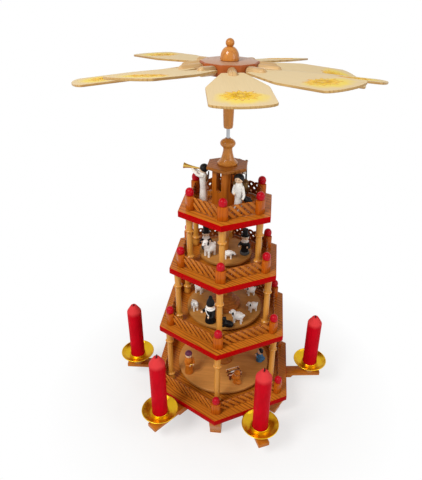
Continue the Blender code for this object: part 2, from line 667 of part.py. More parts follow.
def candle_arms():
    bar = upright(board("arm", [arm_outline()], ARM_WIDTH))
    flare = []
    for k in range(4):
        share = k / 3
        drawn_in = (HOLDER_TOP_RADIUS - HOLDER_FOOT_RADIUS) * share**0.6
        flare.append((HOLDER_TOP_RADIUS - drawn_in, HOLDER_HEIGHT * (1 - share)))
    sunk = -ARM_THICKNESS / 2
    holder_profile = [(0, HOLDER_HEIGHT), *flare, (HOLDER_FOOT_RADIUS, sunk), (0, sunk)]
    holder = moved(baked(turned("holder", holder_profile, 14)), Matrix.Translation((HOLDER_REACH, 0, 0)))
    peg = prism("peg", 8, PEG_RADIUS, -ARM_THICKNESS / 2, PEG_HEIGHT - GAP)
    for number, (angle, swing) in enumerate(zip(EDGES, ARM_SWINGS), 1):
        place = polar(ARM_PIVOT_RADIUS, angle, ARM_TOP)
        hinge = pivot(f"arm_pivot_{number}", None, place, (0, 0, angle + swing))
        arm = add(f"candle_arm_{number}", bar.copy(), HONEY_WOOD, hinge)
        combine(arm, add("holder", holder.copy(), parent=hinge), "UNION")
        combine(arm, add("peg", peg.copy(), parent=hinge), "UNION")
        dish = turned(f"drip_dish_{number}", dish_profile(), 14, BRASS, hinge)
        dish.location = (HOLDER_REACH, 0, DISH_SEAT - ARM_TOP)
        tall = CANDLE_LENGTH - CANDLE_BURNT[number - 1]
        cone = [(0, tall), (CANDLE_TIP_RADIUS, tall), (CANDLE_RADIUS, tall - CANDLE_TAPER)]
        candle = turned(f"candle_{number}", [*cone, (CANDLE_RADIUS, 0), (0, 0)], 14, WAX, hinge)
        candle.location = (HOLDER_REACH, 0, DISH_SEAT - ARM_TOP + DISH_WALL + GAP)


def doll_profile(height, radius, hat):
    """A turned figure: a robe, a round head and a hat, as (radius, height) pairs from the top down."""
    head = radius * 0.82
    hat_height = {"none": 0.0, "top": radius * 1.5, "cone": radius * 2.2, "turban": radius * 0.5}[hat]
    head_middle = height - hat_height - head
    robe = [
        (radius * 0.45, head_middle - head),
        (radius * 0.95, head_middle - 1.7 * head),
        (radius * 0.85, height * 0.42),
        (radius, 0),
        (0, 0),
    ]
    face = arc((0, head_middle), (head, head), 20, -50, 3)
    crowns = {
        "none": arc((0, head_middle), (head, head), 90, 45, 2),
        "top": [
            (0, height),
            (head * 0.85, height),
            (head * 0.8, height - hat_height),
            (head * 1.35, head_middle + head * 0.75),
        ],
        "cone": [(0, height), (head * 0.95, head_middle + head * 0.8)],
        "turban": [(0, height), (head, height - head * 0.3), (head * 1.15, head_middle + head * 0.7)],
    }
    crown = [(max(reach, 0), level) for reach, level in crowns[hat]]
    crown[0] = (0, height)
    return [*crown, *face, *robe]


def figures(rotor):
    for number, azimuth in enumerate(ANGEL_AZIMUTHS, 1):
        profile = doll_profile(ANGEL_HEIGHT, ANGEL_RADIUS, "none")
        angel = turned(f"angel_{number}", profile, 10, WHITE_PAINT)
        angel.location = polar(ANGEL_CIRCLE, azimuth, PLATE_TOPS[3] + GAP)
        if number == 1:
            angel.rotation_euler.z = azimuth
            mouth = ANGEL_HEIGHT - ANGEL_RADIUS
            bell = [(0, TRUMPET_LENGTH), (TRUMPET_RADIUS, TRUMPET_LENGTH), (TRUMPET_RADIUS / 3, 0), (0, 0)]
            horn = turned("trumpet", bell, 8, parent=angel)
            horn.location = (ANGEL_RADIUS / 2, 0, mouth)
            horn.rotation_euler.y = math.radians(84)
            combine(angel, horn, "UNION")
    on_disc = [
        ("top_hat_man_1", MAN_HEIGHT, MAN_RADIUS, "top", BLACK_PAINT, 2, MAN_AZIMUTHS[0]),
        ("top_hat_man_2", MAN_HEIGHT, MAN_RADIUS, "top", BLACK_PAINT, 2, MAN_AZIMUTHS[1]),
        ("shepherd", SHEPHERD_HEIGHT, SHEPHERD_RADIUS, "cone", BLACK_PAINT, 1, SHEPHERD_AZIMUTH),
        ("king", KING_HEIGHT, KING_RADIUS, "turban", ORANGE_PAINT, 0, KING_AZIMUTH),
    ]
    for name, height, radius, hat, surface, tier, azimuth in on_disc:
        doll = turned(name, doll_profile(height, radius, hat), 10, surface, rotor)
        doll.location = polar(DISC_RADII[tier] - FIGURE_INSET - radius, azimuth, DISC_TOPS[tier] + GAP)
    half_top = MANGER_WIDTH / 2
    half_foot = MANGER_FOOT_WIDTH / 2
    section = [(-half_foot, 0), (half_foot, 0), (half_top, MANGER_HEIGHT), (-half_top, MANGER_HEIGHT)]
    manger = add("manger", upright(board("manger", [section], MANGER_LENGTH)), BROWN_WOOD, rotor)
    manger.location = polar((LOWER_PLINTH_RADIUS + DISC_RADII[0]) / 2, MANGER_AZIMUTH, DISC_TOPS[0] + GAP)
    manger.rotation_euler.z = MANGER_AZIMUTH


def main():
    rotor = pivot("rotor_axis")
    base_plate()
    feet()
    upper_plates()
    balustrades()
    lantern()
    roof_and_spire()
    bearing()
    shaft(rotor)
    figure_discs(rotor)
    axes = blade_axes(rotor)
    hub(rotor, axes)
    finial(rotor)
    blades(axes)
    candle_arms()
    figures(rotor)


main()
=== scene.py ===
"""Looks of the christmas pyramid: turned and varnished wood, trellis fences, painted figures, brass and wax.

It is laid out as an add-on and run as a script. Every piece is built in place, in metres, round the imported
frame.
"""

import json
import math
from functools import cache

import bpy
from bpy.props import FloatProperty, FloatVectorProperty, IntProperty, PointerProperty
from bpy.types import Operator, Panel, PropertyGroup
from mathutils import Matrix, Vector, noise


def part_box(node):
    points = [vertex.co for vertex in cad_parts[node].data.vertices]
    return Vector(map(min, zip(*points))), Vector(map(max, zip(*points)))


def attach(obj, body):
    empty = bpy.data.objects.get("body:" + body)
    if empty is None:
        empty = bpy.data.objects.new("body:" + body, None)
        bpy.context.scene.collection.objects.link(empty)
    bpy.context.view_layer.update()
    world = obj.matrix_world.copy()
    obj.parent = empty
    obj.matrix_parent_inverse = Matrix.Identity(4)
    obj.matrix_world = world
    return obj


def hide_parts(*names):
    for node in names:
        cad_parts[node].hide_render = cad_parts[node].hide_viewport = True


bl_info = {
    "name": "Christmas Pyramid",
    "version": (1, 0, 0),
    "blender": (4, 5, 0),
    "location": "View3D > Sidebar > Pyramid",
    "description": "Dresses the pyramid with turned wood, trellis, painted figures, brass and candles",
    "category": "Add Mesh",
}

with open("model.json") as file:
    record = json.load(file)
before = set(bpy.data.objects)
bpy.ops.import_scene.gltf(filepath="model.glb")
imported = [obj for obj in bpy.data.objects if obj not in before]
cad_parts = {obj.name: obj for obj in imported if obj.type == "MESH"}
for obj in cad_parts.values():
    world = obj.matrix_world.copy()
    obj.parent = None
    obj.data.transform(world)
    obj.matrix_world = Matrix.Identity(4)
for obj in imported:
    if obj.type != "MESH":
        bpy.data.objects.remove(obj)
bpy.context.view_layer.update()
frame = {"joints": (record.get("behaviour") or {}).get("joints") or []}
JOINTS = {joint["name"]: joint for joint in frame["joints"]}

MM = 0.001
GAP = 0.0003  # between pieces that rest on each other
CORNERS = [math.radians(60 * k - 90) for k in range(6)]
BLADES = range(1, 11)
ARMS = range(1, 7)
# Edges sharper than the first angle are shaded as edges, and those sharper than the second are rounded off
SHARP_ANGLE = math.radians(38)
SOFTENED_ANGLE = math.radians(40)
WELD_DISTANCE = 0.000002
# An outline in the XY plane put upright, and a part turned about Z laid along X
STOOD_UP = Matrix.Rotation(math.pi / 2, 4, "X")
LAID_OUT = Matrix.Rotation(math.pi / 2, 4, "Y")


def rgb(red, green, blue):
    """A screen colour from 0 to 255 as the linear colour that a shader takes."""
    shares = (red / 255, green / 255, blue / 255)
    return tuple(((c + 0.055) / 1.055) ** 2.4 if c > 0.04045 else c / 12.92 for c in shares)


def amount(name, description, default, **choices):
    return FloatProperty(name=name, description=description, default=default, **choices)


def length(name, description, default):
    return amount(name, description, default, min=0.0, unit="LENGTH", precision=5)


def colour(name, description, default):
    return FloatVectorProperty(
        name=name, description=description, default=rgb(*default), size=3, min=0.0, max=1.0, subtype="COLOR"
    )


def group(kind, name, description):
    return PointerProperty(type=kind, name=name, description=description)


class WoodSettings(PropertyGroup):
    honey_light: colour("Honey light", "Early wood of the varnished plates, posts and feet", (208, 124, 36))
    honey_dark: colour("Honey dark", "Late wood lines of the varnished plates, posts and feet", (116, 48, 6))
    column_light: colour("Column light", "Early wood of the turned columns", (226, 158, 64))
    column_dark: colour("Column dark", "Late wood of the turned columns", (200, 122, 40))
    brown_light: colour("Hub light", "Light streaks of the stained hub and plinths", (176, 92, 42))
    brown_dark: colour("Hub dark", "Dark streaks of the stained hub and plinths", (122, 54, 20))
    board_light: colour("Board light", "Light flecks of the figure discs", (192, 136, 68))
    board_dark: colour("Board dark", "Dark flecks of the figure discs", (162, 106, 46))
    ring_pitch: length("Ring pitch", "Distance between the growth rings that show on the plates", 0.0034)


class FenceSettings(PropertyGroup):
    slat_pitch: length("Slat pitch", "Between the slats of one layer, square to them", 0.0053)
    slat_width: length("Slat width", "Width of one slat", 0.0030)
    slat_thickness: length("Slat thickness", "Thickness of one layer of slats", 0.0011)
    rim_colour: colour("Rim colour", "Paint on the rims of the plates", (180, 0, 3))
    cap_colour: colour("Cap colour", "Paint on the domed caps of the posts", (190, 4, 30))


class WheelSettings(PropertyGroup):
    pale: colour("Blade", "Waxed pale wood of the blades", (235, 209, 160))
    wash: colour("Wash", "Yellow wash round the star on each blade", (252, 222, 62))
    gold: colour("Gold", "Straw-gold paint of the star", (255, 206, 24))
    star_reach: length("Star reach", "Centre of the star to the tips of its long petals", 0.0153)
    star_place: length("Star place", "Centre of the star from the wheel's axis", 0.109)


class CandleSettings(PropertyGroup):
    wax: colour("Wax", "Body of the candles", (200, 3, 26))
    # Painted light: the cone at the top gets a paler tone, where light falls on the wax and shows through it
    tip: colour("Wax tip", "Paler wax of the cone at the top", (224, 62, 64))
    brass: colour("Brass", "Polished sheet of the drip dishes", (218, 174, 34))
    wick_height: length("Wick", "How far the burnt wick stands out", 0.0042)


class StageSettings(PropertyGroup):
    ambient: amount("Ambient", "White light from all round", 0.3, min=0.0)
    key_power: amount("Key", "Large soft lamp, up and to the left", 12.0, unit="POWER")
    fill_power: amount("Fill", "Soft lamp to the right", 3.4, unit="POWER")
    lens: amount("Lens", "Focal length", 35.67, unit="CAMERA", min=1.0)
    floor_sides: IntProperty(name="Floor sides", description="Corners of the round floor", default=64, min=8)


class PyramidSettings(PropertyGroup):
    wood: group(WoodSettings, "Wood", "Colours of the bare and varnished wood")
    fence: group(FenceSettings, "Fences", "Trellis, rims and caps")
    wheel: group(WheelSettings, "Wheel", "Blades and their star")
    candle: group(CandleSettings, "Candles", "Wax and brass")
    stage: group(StageSettings, "Stage", "Light and camera")


def settings():
    return bpy.context.scene.pyramid


class Term:
    """A value in a node tree, which sums and products take like a number."""

    def __init__(self, wiring, socket):
        self.wiring = wiring
        self.socket = socket

    def __add__(self, other):
        return self.wiring.math("ADD", self, other)

    def __sub__(self, other):
        return self.wiring.math("SUBTRACT", self, other)

    def __mul__(self, other):
        return self.wiring.math("MULTIPLY", self, other)

    def __truediv__(self, other):
        return self.wiring.math("DIVIDE", self, other)


class Wiring:
    """Short calls that add nodes to a tree and link them."""

    def __init__(self, tree):
        self.tree = tree

    def node(self, kind, inputs=None, **choices):
        made = self.tree.nodes.new(kind)
        for key, value in choices.items():
            setattr(made, key, value)
        for key, value in (inputs or {}).items():
            self.feed(made.inputs[key], value)
        return made

    def feed(self, socket, value):
        if isinstance(value, Term):
            self.tree.links.new(value.socket, socket)
        else:
            socket.default_value = value

    def terms(self, made):
        """All that a node gives, by place in its list and by name."""
        found = [Term(self, socket) for socket in made.outputs]
        return dict(enumerate(found)) | {term.socket.name: term for term in found}

    def out(self, kind, inputs=None, **choices):
        return self.terms(self.node(kind, inputs, **choices))[0]

    def math(self, operation, *values):
        return self.out("ShaderNodeMath", dict(enumerate(values)), operation=operation)

    def hypot(self, first, second):
        return self.math("SQRT", self.math("POWER", first, 2.0) + self.math("POWER", second, 2.0))

    def combine(self, x=0.0, y=0.0, z=0.0):
        return self.out("ShaderNodeCombineXYZ", {0: x, 1: y, 2: z})

    def split(self, vector):
        return self.terms(self.node("ShaderNodeSeparateXYZ", {0: vector}))

    def seen(self):
        """1 for the rays by which a thing is seen, also in a mirror or through glass, and otherwise 0."""
        rays = self.terms(self.node("ShaderNodeLightPath"))
        straight = self.math("MAXIMUM", rays["Is Camera Ray"], rays["Is Glossy Ray"])
        return self.math("MAXIMUM", straight, rays["Is Transmission Ray"])


COAT_ROUGHNESS = 0.12


class Finish(Wiring):
    """A material with a Principled shader, coloured by nodes that read where a point lies on its piece."""

    def __init__(self, name, roughness=0.5, metallic=0.0, coat=0.0, shine=0.5):
        self.material = bpy.data.materials.new(name)
        self.material.use_nodes = True
        super().__init__(self.material.node_tree)
        self.shader = self.tree.nodes["Principled BSDF"]
        values = {"Roughness": roughness, "Metallic": metallic, "Specular IOR Level": shine}
        values |= {"Coat Weight": coat, "Coat Roughness": COAT_ROUGHNESS}
        for key, value in values.items():
            self.shader.inputs[key].default_value = value

    def place(self, scale=(1, 1, 1), turn=(0, 0, 0), of_piece=True):
        """Where a point lies: on its own part before that was put in place, or in the frame."""
        if of_piece:
            where = self.terms(self.node("ShaderNodeAttribute", attribute_name="local"))["Vector"]
        else:
            where = self.terms(self.node("ShaderNodeTexCoord"))["Object"]
        around = self.out("ShaderNodeMapping", {"Vector": where, "Rotation": turn})
        return self.out("ShaderNodeVectorMath", {0: around, 1: scale}, operation="MULTIPLY")

    def noise(self, where, scale, detail=3.0, roughness=0.55):
        inputs = {"Vector": where, "Scale": scale, "Detail": detail, "Roughness": roughness}
        return self.out("ShaderNodeTexNoise", inputs)

    def ramp(self, factor, *stops):
        made = self.node("ShaderNodeValToRGB", {0: factor})
        elements = made.color_ramp.elements
        while len(elements) < len(stops):
            elements.new(0.5)
        for element, (position, shade) in zip(elements, stops):
            element.position = position
            element.color = (*shade, 1)
        return self.terms(made)[0]

    def mix(self, factor, first, second, blend="MIX"):
        made = self.node("ShaderNodeMix", data_type="RGBA", blend_type=blend)
        self.feed(made.inputs[0], factor)
        for socket, value in ((made.inputs[6], first), (made.inputs[7], second)):
            self.feed(socket, (*value, 1) if isinstance(value, tuple) else value)
        return self.terms(made)[2]

    def span(self, value, low, high, to_low=0.0, to_high=1.0):
        inputs = {"Value": value, "From Min": low, "From Max": high, "To Min": to_low, "To Max": to_high}
        return self.out("ShaderNodeMapRange", inputs, clamp=True)

    def bump(self, height, strength, depth):
        inputs = {"Strength": strength, "Distance": depth, "Height": height}
        self.feed(self.shader.inputs["Normal"], self.out("ShaderNodeBump", inputs))

    def rough(self, value, gloss, low, high):
        """Lets the roughness drift round the gloss with a noise."""
        self.feed(self.shader.inputs["Roughness"], self.span(value, 0.3, 0.7, gloss * low, gloss * high))

    def paint_with(self, shade):
        self.feed(self.shader.inputs["Base Color"], shade)
        return self.material


def shaded(tone, share):
    return tuple(min(1.0, c * share) for c in tone)


# Scale of the wave texture whose rings lie a metre apart, and the tone of the painted shade on what lies
# behind
WAVE_SCALE = 0.31416
PAINTED_SHADE_TONE = (0.58, 0.46, 0.40)


def wood(
    name, light, dark, pitch, turn=(0, 0, 0), of_piece=True,
    rings=1.0, gloss=0.3, coat=0.04, shine=0.12, painted_shade_span=None,
):
    """Wood whose fibres run along X once its place is turned: growth rings, fibres and drifts of tone."""
    made = Finish(name, gloss, coat=coat, shine=shine)
    slow = made.place((0.2, 1, 0.5), turn, of_piece)
    inputs = {"Vector": slow, "Scale": WAVE_SCALE / pitch, "Distortion": 13.0, "Detail": 3.0}
    inputs["Detail Scale"] = 0.5
    waves = made.terms(made.node("ShaderNodeTexWave", inputs, bands_direction="Y"))[1]
    late = made.ramp(waves, (0.4, (0, 0, 0)), (0.82, (0.45, 0.45, 0.45)), (0.98, (1, 1, 1)))
    fibre = made.noise(made.place((0.03, 1, 1), turn, of_piece), 1500, 3)
    drift = made.noise(made.place((0.3, 1, 1), turn, of_piece), 60, 2)
    figure = late * made.span(drift, 0.36, 0.64, 0.15 * rings, rings)
    tone = made.mix(figure, tuple(light), tuple(dark))
    streaks = made.ramp(fibre, (0.3, (0.74, 0.70, 0.66)), (0.7, (1.08, 1.08, 1.08)))
    tone = made.mix(0.7, tone, streaks, "MULTIPLY")
    wear = made.ramp(drift, (0.25, (0.86, 0.84, 0.8)), (0.75, (1.05, 1.05, 1.05)))
    made.rough(fibre, gloss, 0.8, 1.3)
    made.bump(fibre + figure, 0.12, 0.0002)
    tone = made.mix(0.8, tone, wear, "MULTIPLY")
    if painted_shade_span:
        # Painted shade: what lies behind, such as the inner layer of slats, is darkened
        depth = made.split(made.place(of_piece=of_piece))[1]
        tone = made.mix(made.span(depth, *painted_shade_span), tone, PAINTED_SHADE_TONE, "MULTIPLY")
    return made.paint_with(tone)


def paint(name, tone, gloss=0.4, shine=0.15):
    """Hand-brushed paint: uneven cover, soft brush marks and a little wear."""
    made = Finish(name, gloss, shine=shine)
    tone = tuple(tone)
    cover = made.noise(made.place(), 420, 4, 0.6)
    marks = made.noise(made.place((1, 1, 0.15)), 1800, 2)
    made.rough(cover, gloss, 0.75, 1.35)
    made.bump(cover + marks, 0.1, 0.00015)
    stops = (0.3, shaded(tone, 0.8)), (0.52, tone), (0.75, shaded(tone, 1.12))
    return made.paint_with(made.ramp(cover, *stops))


def blade_finish():
    """Pale waxed ply, with a yellow wash that spreads from the star towards the tip."""
    wheel = settings().wheel
    made = Finish("pale_blade", 0.55, shine=0.12)
    fibre = made.noise(made.place((0.03, 1, 1)), 1300, 3)
    drift = made.noise(made.place((0.5, 1, 1)), 70, 3)
    tone = made.ramp(fibre, (0.3, shaded(wheel.pale, 0.96)), (0.7, shaded(wheel.pale, 1.03)))
    where = made.split(made.place())
    far = made.hypot(where[0] - (wheel.star_place + 0.006), where[1] * 0.85)
    edge = far + (drift - 0.5) * 0.012
    tone = made.mix(made.span(edge, 0.0185, 0.011, 0.0, 0.75), tone, tuple(wheel.wash))
    made.bump(fibre, 0.08, 0.0001)
    return made.paint_with(tone)


def wax_finish():
    """Dyed wax with a bloom and soft dents, and painted light that makes the cone at the top paler."""
    candle = settings().candle
    made = Finish("red_wax", 0.5, shine=0.04)
    height = made.split(made.place())[2]
    bloom = made.noise(made.place((1, 1, 0.4)), 160, 4)
    body = made.ramp(bloom, (0.3, shaded(candle.wax, 0.86)), (0.7, shaded(candle.wax, 1.12)))
    shift = height + (bloom - 0.5) * 0.004
    made.bump(bloom, 0.2, 0.0005)
    # Painted light: paler towards the cone at the top
    return made.paint_with(made.mix(made.span(shift, -0.0125, -0.0075), body, tuple(candle.tip)))


def metal(name, tone, gloss, rings=0.0):
    """Metal with fine lines: round the axis of a spun dish, or along a drawn rod."""
    made = Finish(name, gloss, metallic=1.0)
    where = made.split(made.place())
    far = made.hypot(where[0], where[1])
    spun = made.noise(made.combine(far, z=where[2] * rings), 2600, 2)
    cloud = made.noise(made.place(), 140, 3)
    made.rough(cloud, gloss, 0.9, 1.2)
    made.bump(spun, 0.12, 0.0001)
    return made.paint_with(made.ramp(cloud, (0.3, shaded(tone, 0.94)), (0.7, shaded(tone, 1.04))))


PAINTS = {
    "white_paint": (248, 246, 240),
    "black_paint": (22, 21, 22),
    "orange_paint": (206, 118, 32),
    "blue_paint": (70, 120, 160),
    "purple_paint": (104, 52, 78),
    "grey_paint": (84, 90, 92),
    "skin_paint": (240, 206, 172),
    "lute_paint": (122, 92, 52),
    "straw_paint": (206, 168, 92),
    "amber_line": (212, 138, 14),
}
UPRIGHT = (0, math.radians(90), 0)
# The plates' fibres run along their front left edge
PLATE_GRAIN = (0, 0, math.radians(30))


@cache
def finish(name):
    """The material of that name, made when a piece first asks for it."""
    chosen = settings()
    tones = chosen.wood
    honey = (tones.honey_light, tones.honey_dark)
    # Light and dark tone, distance between the rings, and what is not as in plain wood
    woods = {
        "plate_wood": (*honey, tones.ring_pitch, {"turn": PLATE_GRAIN, "rings": 0.9}),
        "quiet_plate_wood": (*honey, 0.0062, {"turn": PLATE_GRAIN, "rings": 0.5}),
        "honey_wood": (*honey, 0.0026, {"rings": 0.7}),
        # Painted shade darkens the inner layer of slats, which lies behind the outer one
        "slat_wood": (*honey, 0.004, {"rings": 0.5, "shine": 0.2, "painted_shade_span": (-0.0008, -0.0002)}),
        "post_wood": (
            rgb(196, 98, 16), rgb(144, 58, 6), 0.0022,
            {"turn": UPRIGHT, "rings": 0.5, "gloss": 0.22, "shine": 0.14},
        ),
        "lantern_wood": (
            rgb(198, 112, 32), rgb(152, 76, 16), 0.003, {"turn": UPRIGHT, "of_piece": False, "rings": 0.7}
        ),
        "roof_wood": (rgb(172, 106, 44), rgb(134, 72, 22), 0.004, {"turn": PLATE_GRAIN, "shine": 0.08}),
        "turned_wood": (
            rgb(208, 136, 56), rgb(166, 94, 30), 0.003,
            {"turn": UPRIGHT, "rings": 0.5, "gloss": 0.2, "coat": 0.12, "shine": 0.3},
        ),
        "column_wood": (
            tones.column_light, tones.column_dark, 0.0026,
            {"turn": UPRIGHT, "rings": 0.4, "gloss": 0.22, "shine": 0.3},
        ),
        "dowel_wood": (rgb(216, 180, 128), rgb(186, 142, 92), 0.003, {"rings": 0.7, "coat": 0.1}),
        "plinth_wood": (rgb(178, 108, 46), rgb(134, 72, 24), 0.004, {"gloss": 0.35}),
        "brown_wood": (tones.brown_light, tones.brown_dark, 0.004, {"gloss": 0.35}),
        "crib_wood": (rgb(132, 62, 34), rgb(88, 36, 18), 0.003, {}),
        "pale_board": (rgb(214, 152, 80), rgb(190, 124, 58), 0.009, {"rings": 0.3, "gloss": 0.45}),
        "tan_board": (tones.board_light, tones.board_dark, 0.009, {"rings": 0.3, "gloss": 0.45}),
        "blade_edge": (rgb(206, 168, 108), rgb(160, 112, 62), 0.003, {"rings": 0.6, "coat": 0.0}),
        "hub_face": (rgb(198, 150, 118), rgb(160, 104, 74), 0.005, {"rings": 0.5}),
    }
    makers = {
        "red_rim": lambda: paint(name, chosen.fence.rim_colour, shine=0.03),
        "crimson_cap": lambda: paint(name, chosen.fence.cap_colour, 0.3, shine=0.16),
        "pale_blade": blade_finish,
        "gold_star": lambda: paint(name, chosen.wheel.gold),
        "burnt_wick": lambda: paint(name, rgb(30, 24, 22), 0.8),
        "red_wax": wax_finish,
        "brass": lambda: metal(name, chosen.candle.brass, 0.3),
        "gold_leaf": lambda: metal(name, rgb(216, 180, 92), 0.28, 1.0),
        "steel": lambda: metal(name, rgb(176, 178, 182), 0.28, 0.02),
    }
    if name in woods:
        light, dark, pitch, choices = woods[name]
        return wood(name, light, dark, pitch, **choices)
    return makers[name]() if name in makers else paint(name, rgb(*PAINTS[name]))


class Shape:
    """Gathers the parts of one piece, each with its own finish. It keeps where a point lay on its part."""

    def __init__(self, place=None):
        self.place = place or Matrix()
        self.points = []
        self.local = []
        self.faces = []
        self.kinds = []
        self.finishes = []

    def add(self, part, finish_name, within=None):
        points, faces = part
        matrix = self.place @ within if within else self.place
        start = len(self.points)
        self.points += [tuple(matrix @ Vector(point)) for point in points]
        self.local += [tuple(point) for point in points]
        self.faces += [[start + corner for corner in face] for face in faces]
        if finish_name not in self.finishes:
            self.finishes.append(finish_name)
        self.kinds += [self.finishes.index(finish_name)] * len(faces)
        return self

    def blob(self, finish_name, *form, within=None, **choices):
        self.add(ball(*form, **choices), finish_name, within)

    def rod(self, finish_name, *form, within=None):
        self.add(tube(*form), finish_name, within)

    def spun(self, finish_name, profile, sides, within=None):
        """A turned part from a profile in millimetres."""
        self.add(turned(mm(*profile), sides), finish_name, within)

    def board(self, finish_name, outline, thickness, ease, within=None):
        for part in slab(outline, thickness, ease):
            self.add(part, finish_name, within)

    def keep(self, name, *claims):
        keep(self.made(name), *claims)

    def made(self, name):
        mesh = bpy.data.meshes.new(name)
        mesh.from_pydata(self.points, [], self.faces)
        for finish_name in self.finishes:
            mesh.materials.append(finish(finish_name))
        mesh.polygons.foreach_set("material_index", self.kinds)
        place = mesh.attributes.new("local", "FLOAT_VECTOR", "POINT")
        place.data.foreach_set("vector", [c for point in self.local for c in point])
        mesh.shade_smooth()
        mesh.set_sharp_from_angle(angle=SHARP_ANGLE)
        obj = bpy.data.objects.new(name, mesh)
        bpy.context.scene.collection.objects.link(obj)
        return obj


def settled(obj):
    """The object as a plain mesh, with its modifiers applied."""
    bpy.context.view_layer.update()
    graph = bpy.context.evaluated_depsgraph_get()
    mesh = bpy.data.meshes.new_from_object(obj.evaluated_get(graph))
    obj.modifiers.clear()
    obj.data = mesh
    return obj


def keep(obj, body, slot, *nodes):
    """Hands a finished piece to the frame."""
    if not obj.data.polygons:
        raise RuntimeError(f"{obj.name} came out empty")
    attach(obj, body)
    if nodes:
        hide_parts(*nodes)


def mm(*pairs):
    return [(a * MM, b * MM) for a, b in pairs]


def flowing(points, steps=5):
    """A smooth line through the points, ends included."""
    line = []
    padded = [points[0], *points, points[-1]]
    for stretch in zip(padded, padded[1:], padded[2:], padded[3:]):
        for k in range(steps):
            t = k / steps
            point = []
            for a, b, c, d in zip(*stretch):
                curve = 2 * b + (c - a) * t + (2 * a - 5 * b + 4 * c - d) * t**2
                point.append(0.5 * (curve + (3 * b - a - 3 * c + d) * t**3))
            line.append(tuple(point))
    return [*line, points[-1]]


def eased(points, trim, steps=3):
    """The line with its corners rounded by the given trim, and its ends as they are."""
    line = [tuple(points[0])]
    for before, corner, after in zip(points, points[1:], points[2:]):
        corner = Vector(corner)
        ends = []
        for other in (before, after):
            way = Vector(other) - corner
            ends.append(corner + way * min(0.45, trim / max(way.length, 1e-9)))
        for step in range(steps + 1):
            t = step / steps
            line.append(tuple(ends[0] * (1 - t) ** 2 + corner * 2 * t * (1 - t) + ends[1] * t**2))
    return [*line, tuple(points[-1])]


def swing(share):
    """A share from 0 to 1 with a soft start and a soft end."""
    return (1 - math.cos(math.pi * share)) / 2


def polar(reach, angle):
    return reach * math.cos(angle), reach * math.sin(angle)


def angles_round(count, first=0.0):
    return [first + 2 * math.pi * k / count for k in range(count)]


def bow(centre, radii, start, end, steps):
    """Points along an elliptical arc, angles in degrees, both ends included."""
    angles = [math.radians(start + (end - start) * k / steps) for k in range(steps + 1)]
    return [(centre[0] + radii[0] * math.cos(a), centre[1] + radii[1] * math.sin(a)) for a in angles]


def turned(profile, sides):
    """A part turned about Z from (radius, height) pairs that run down its outer side."""
    points = []
    rings = []
    for radius, height in profile:
        if radius < 1e-7:
            rings.append([len(points)])
            points.append((0, 0, height))
            continue
        rings.append(list(range(len(points), len(points) + sides)))
        points += [(*polar(radius, angle), height) for angle in angles_round(sides)]
    faces = []
    for above, below in zip(rings, rings[1:]):
        for k in range(sides):
            far = (k + 1) % sides
            ways = ((above, k), (below, k), (below, far), (above, far))
            corners = list(dict.fromkeys(ring[side % len(ring)] for ring, side in ways))
            if len(corners) > 2:
                faces.append(corners)
    return points, faces


def closed(profile):
    """The profile of a turned part with a bore, which closes on itself."""
    return [*profile, profile[0]]


def bands(loops, count):
    """Faces between each loop of points and the next."""
    faces = []
    for start in range(0, (loops - 1) * count, count):
        for k in range(count):
            near, far = start + k, start + (k + 1) % count
            faces.append([near, far, far + count, near + count])
    return faces


def inset(outline, distance):
    """The outline moved in by a distance, square to its sides. It runs counterclockwise."""
    count = len(outline)
    moved = []
    for k in range(count):
        before, here, after = (Vector(outline[j % count]) for j in (k - 1, k, k + 1))
        first = (here - before).normalized()
        second = (after - here).normalized()
        first, second = Vector((-first.y, first.x)), Vector((-second.y, second.x))
        across = (first + second).normalized()
        moved.append(tuple(here + across * distance / max(0.4, across.dot(first))))
    return moved


def slab(outline, thickness, ease):
    """A flat board in the XY plane with rounded edges, as its two faces and its rim."""
    half = thickness / 2
    levels = [(ease, -half), (ease * 0.3, ease * 0.3 - half), (0, ease - half)]
    levels += [(shift, -height) for shift, height in reversed(levels)]
    count = len(outline)
    points = [(x, y, height) for shift, height in levels for x, y in inset(outline, shift)]
    caps = points[:count] + points[-count:]
    sides = [list(reversed(range(count))), list(range(count, 2 * count))]
    return (caps, sides), (points, bands(len(levels), count))


def many_sided(flat, sides, samples, first=0.0, corner=math.radians(-30)):
    """A polygon with its flats at that distance, as points at even angles. One of its corners is given."""
    side = 2 * math.pi / sides
    angles = angles_round(samples, first)
    return [polar(flat / math.cos((angle - corner) % side - side / 2), angle) for angle in angles]


def hexagon(radius):
    """A hexagon with a corner towards -Y."""
    return many_sided(radius * math.cos(math.radians(30)), 6, 72)


def pierced(outline, bore, bottom, top, ease):
    """A board with a round hole: its faces and hole as one part and its rounded rim as another."""
    count = len(outline)
    hole = [polar(bore, math.atan2(y, x)) for x, y in outline]
    inner = inset(outline, ease)
    loops = [(hole, bottom), (inner, bottom), (inner, top), (hole, top)]
    points = [(x, y, height) for loop, height in loops for x, y in loop]
    faces = []
    for first, second in ((1, 0), (3, 2), (0, 3)):
        for k in range(count):
            near, far = k, (k + 1) % count
            base, over = first * count, second * count
            faces.append([base + near, over + near, over + far, base + far])
    levels = [(inner, bottom), (inset(outline, ease * 0.3), bottom + ease * 0.3), (outline, bottom + ease)]
    levels += [(loop, bottom + top - height) for loop, height in reversed(levels)]
    rim_points = [(x, y, height) for loop, height in levels for x, y in loop]
    return (points, [face[::-1] for face in faces]), (rim_points, bands(len(levels), count))


def tube(line, radii, sides=14):
    """A round part along a line, with a radius at each of its points and closed ends."""
    line = [Vector(point) for point in line]
    points = []
    side = None
    for k, point in enumerate(line):
        way = (line[min(k + 1, len(line) - 1)] - line[max(k - 1, 0)]).normalized()
        if side is None:
            side = way.orthogonal().normalized()
        side = (side - way * side.dot(way)).normalized()
        up = way.cross(side)
        for angle in angles_round(sides):
            points.append(tuple(point + (side * math.cos(angle) + up * math.sin(angle)) * radii[k]))
    ends = [list(reversed(range(sides))), list(range(len(points) - sides, len(points)))]
    return points, bands(len(line), sides) + ends


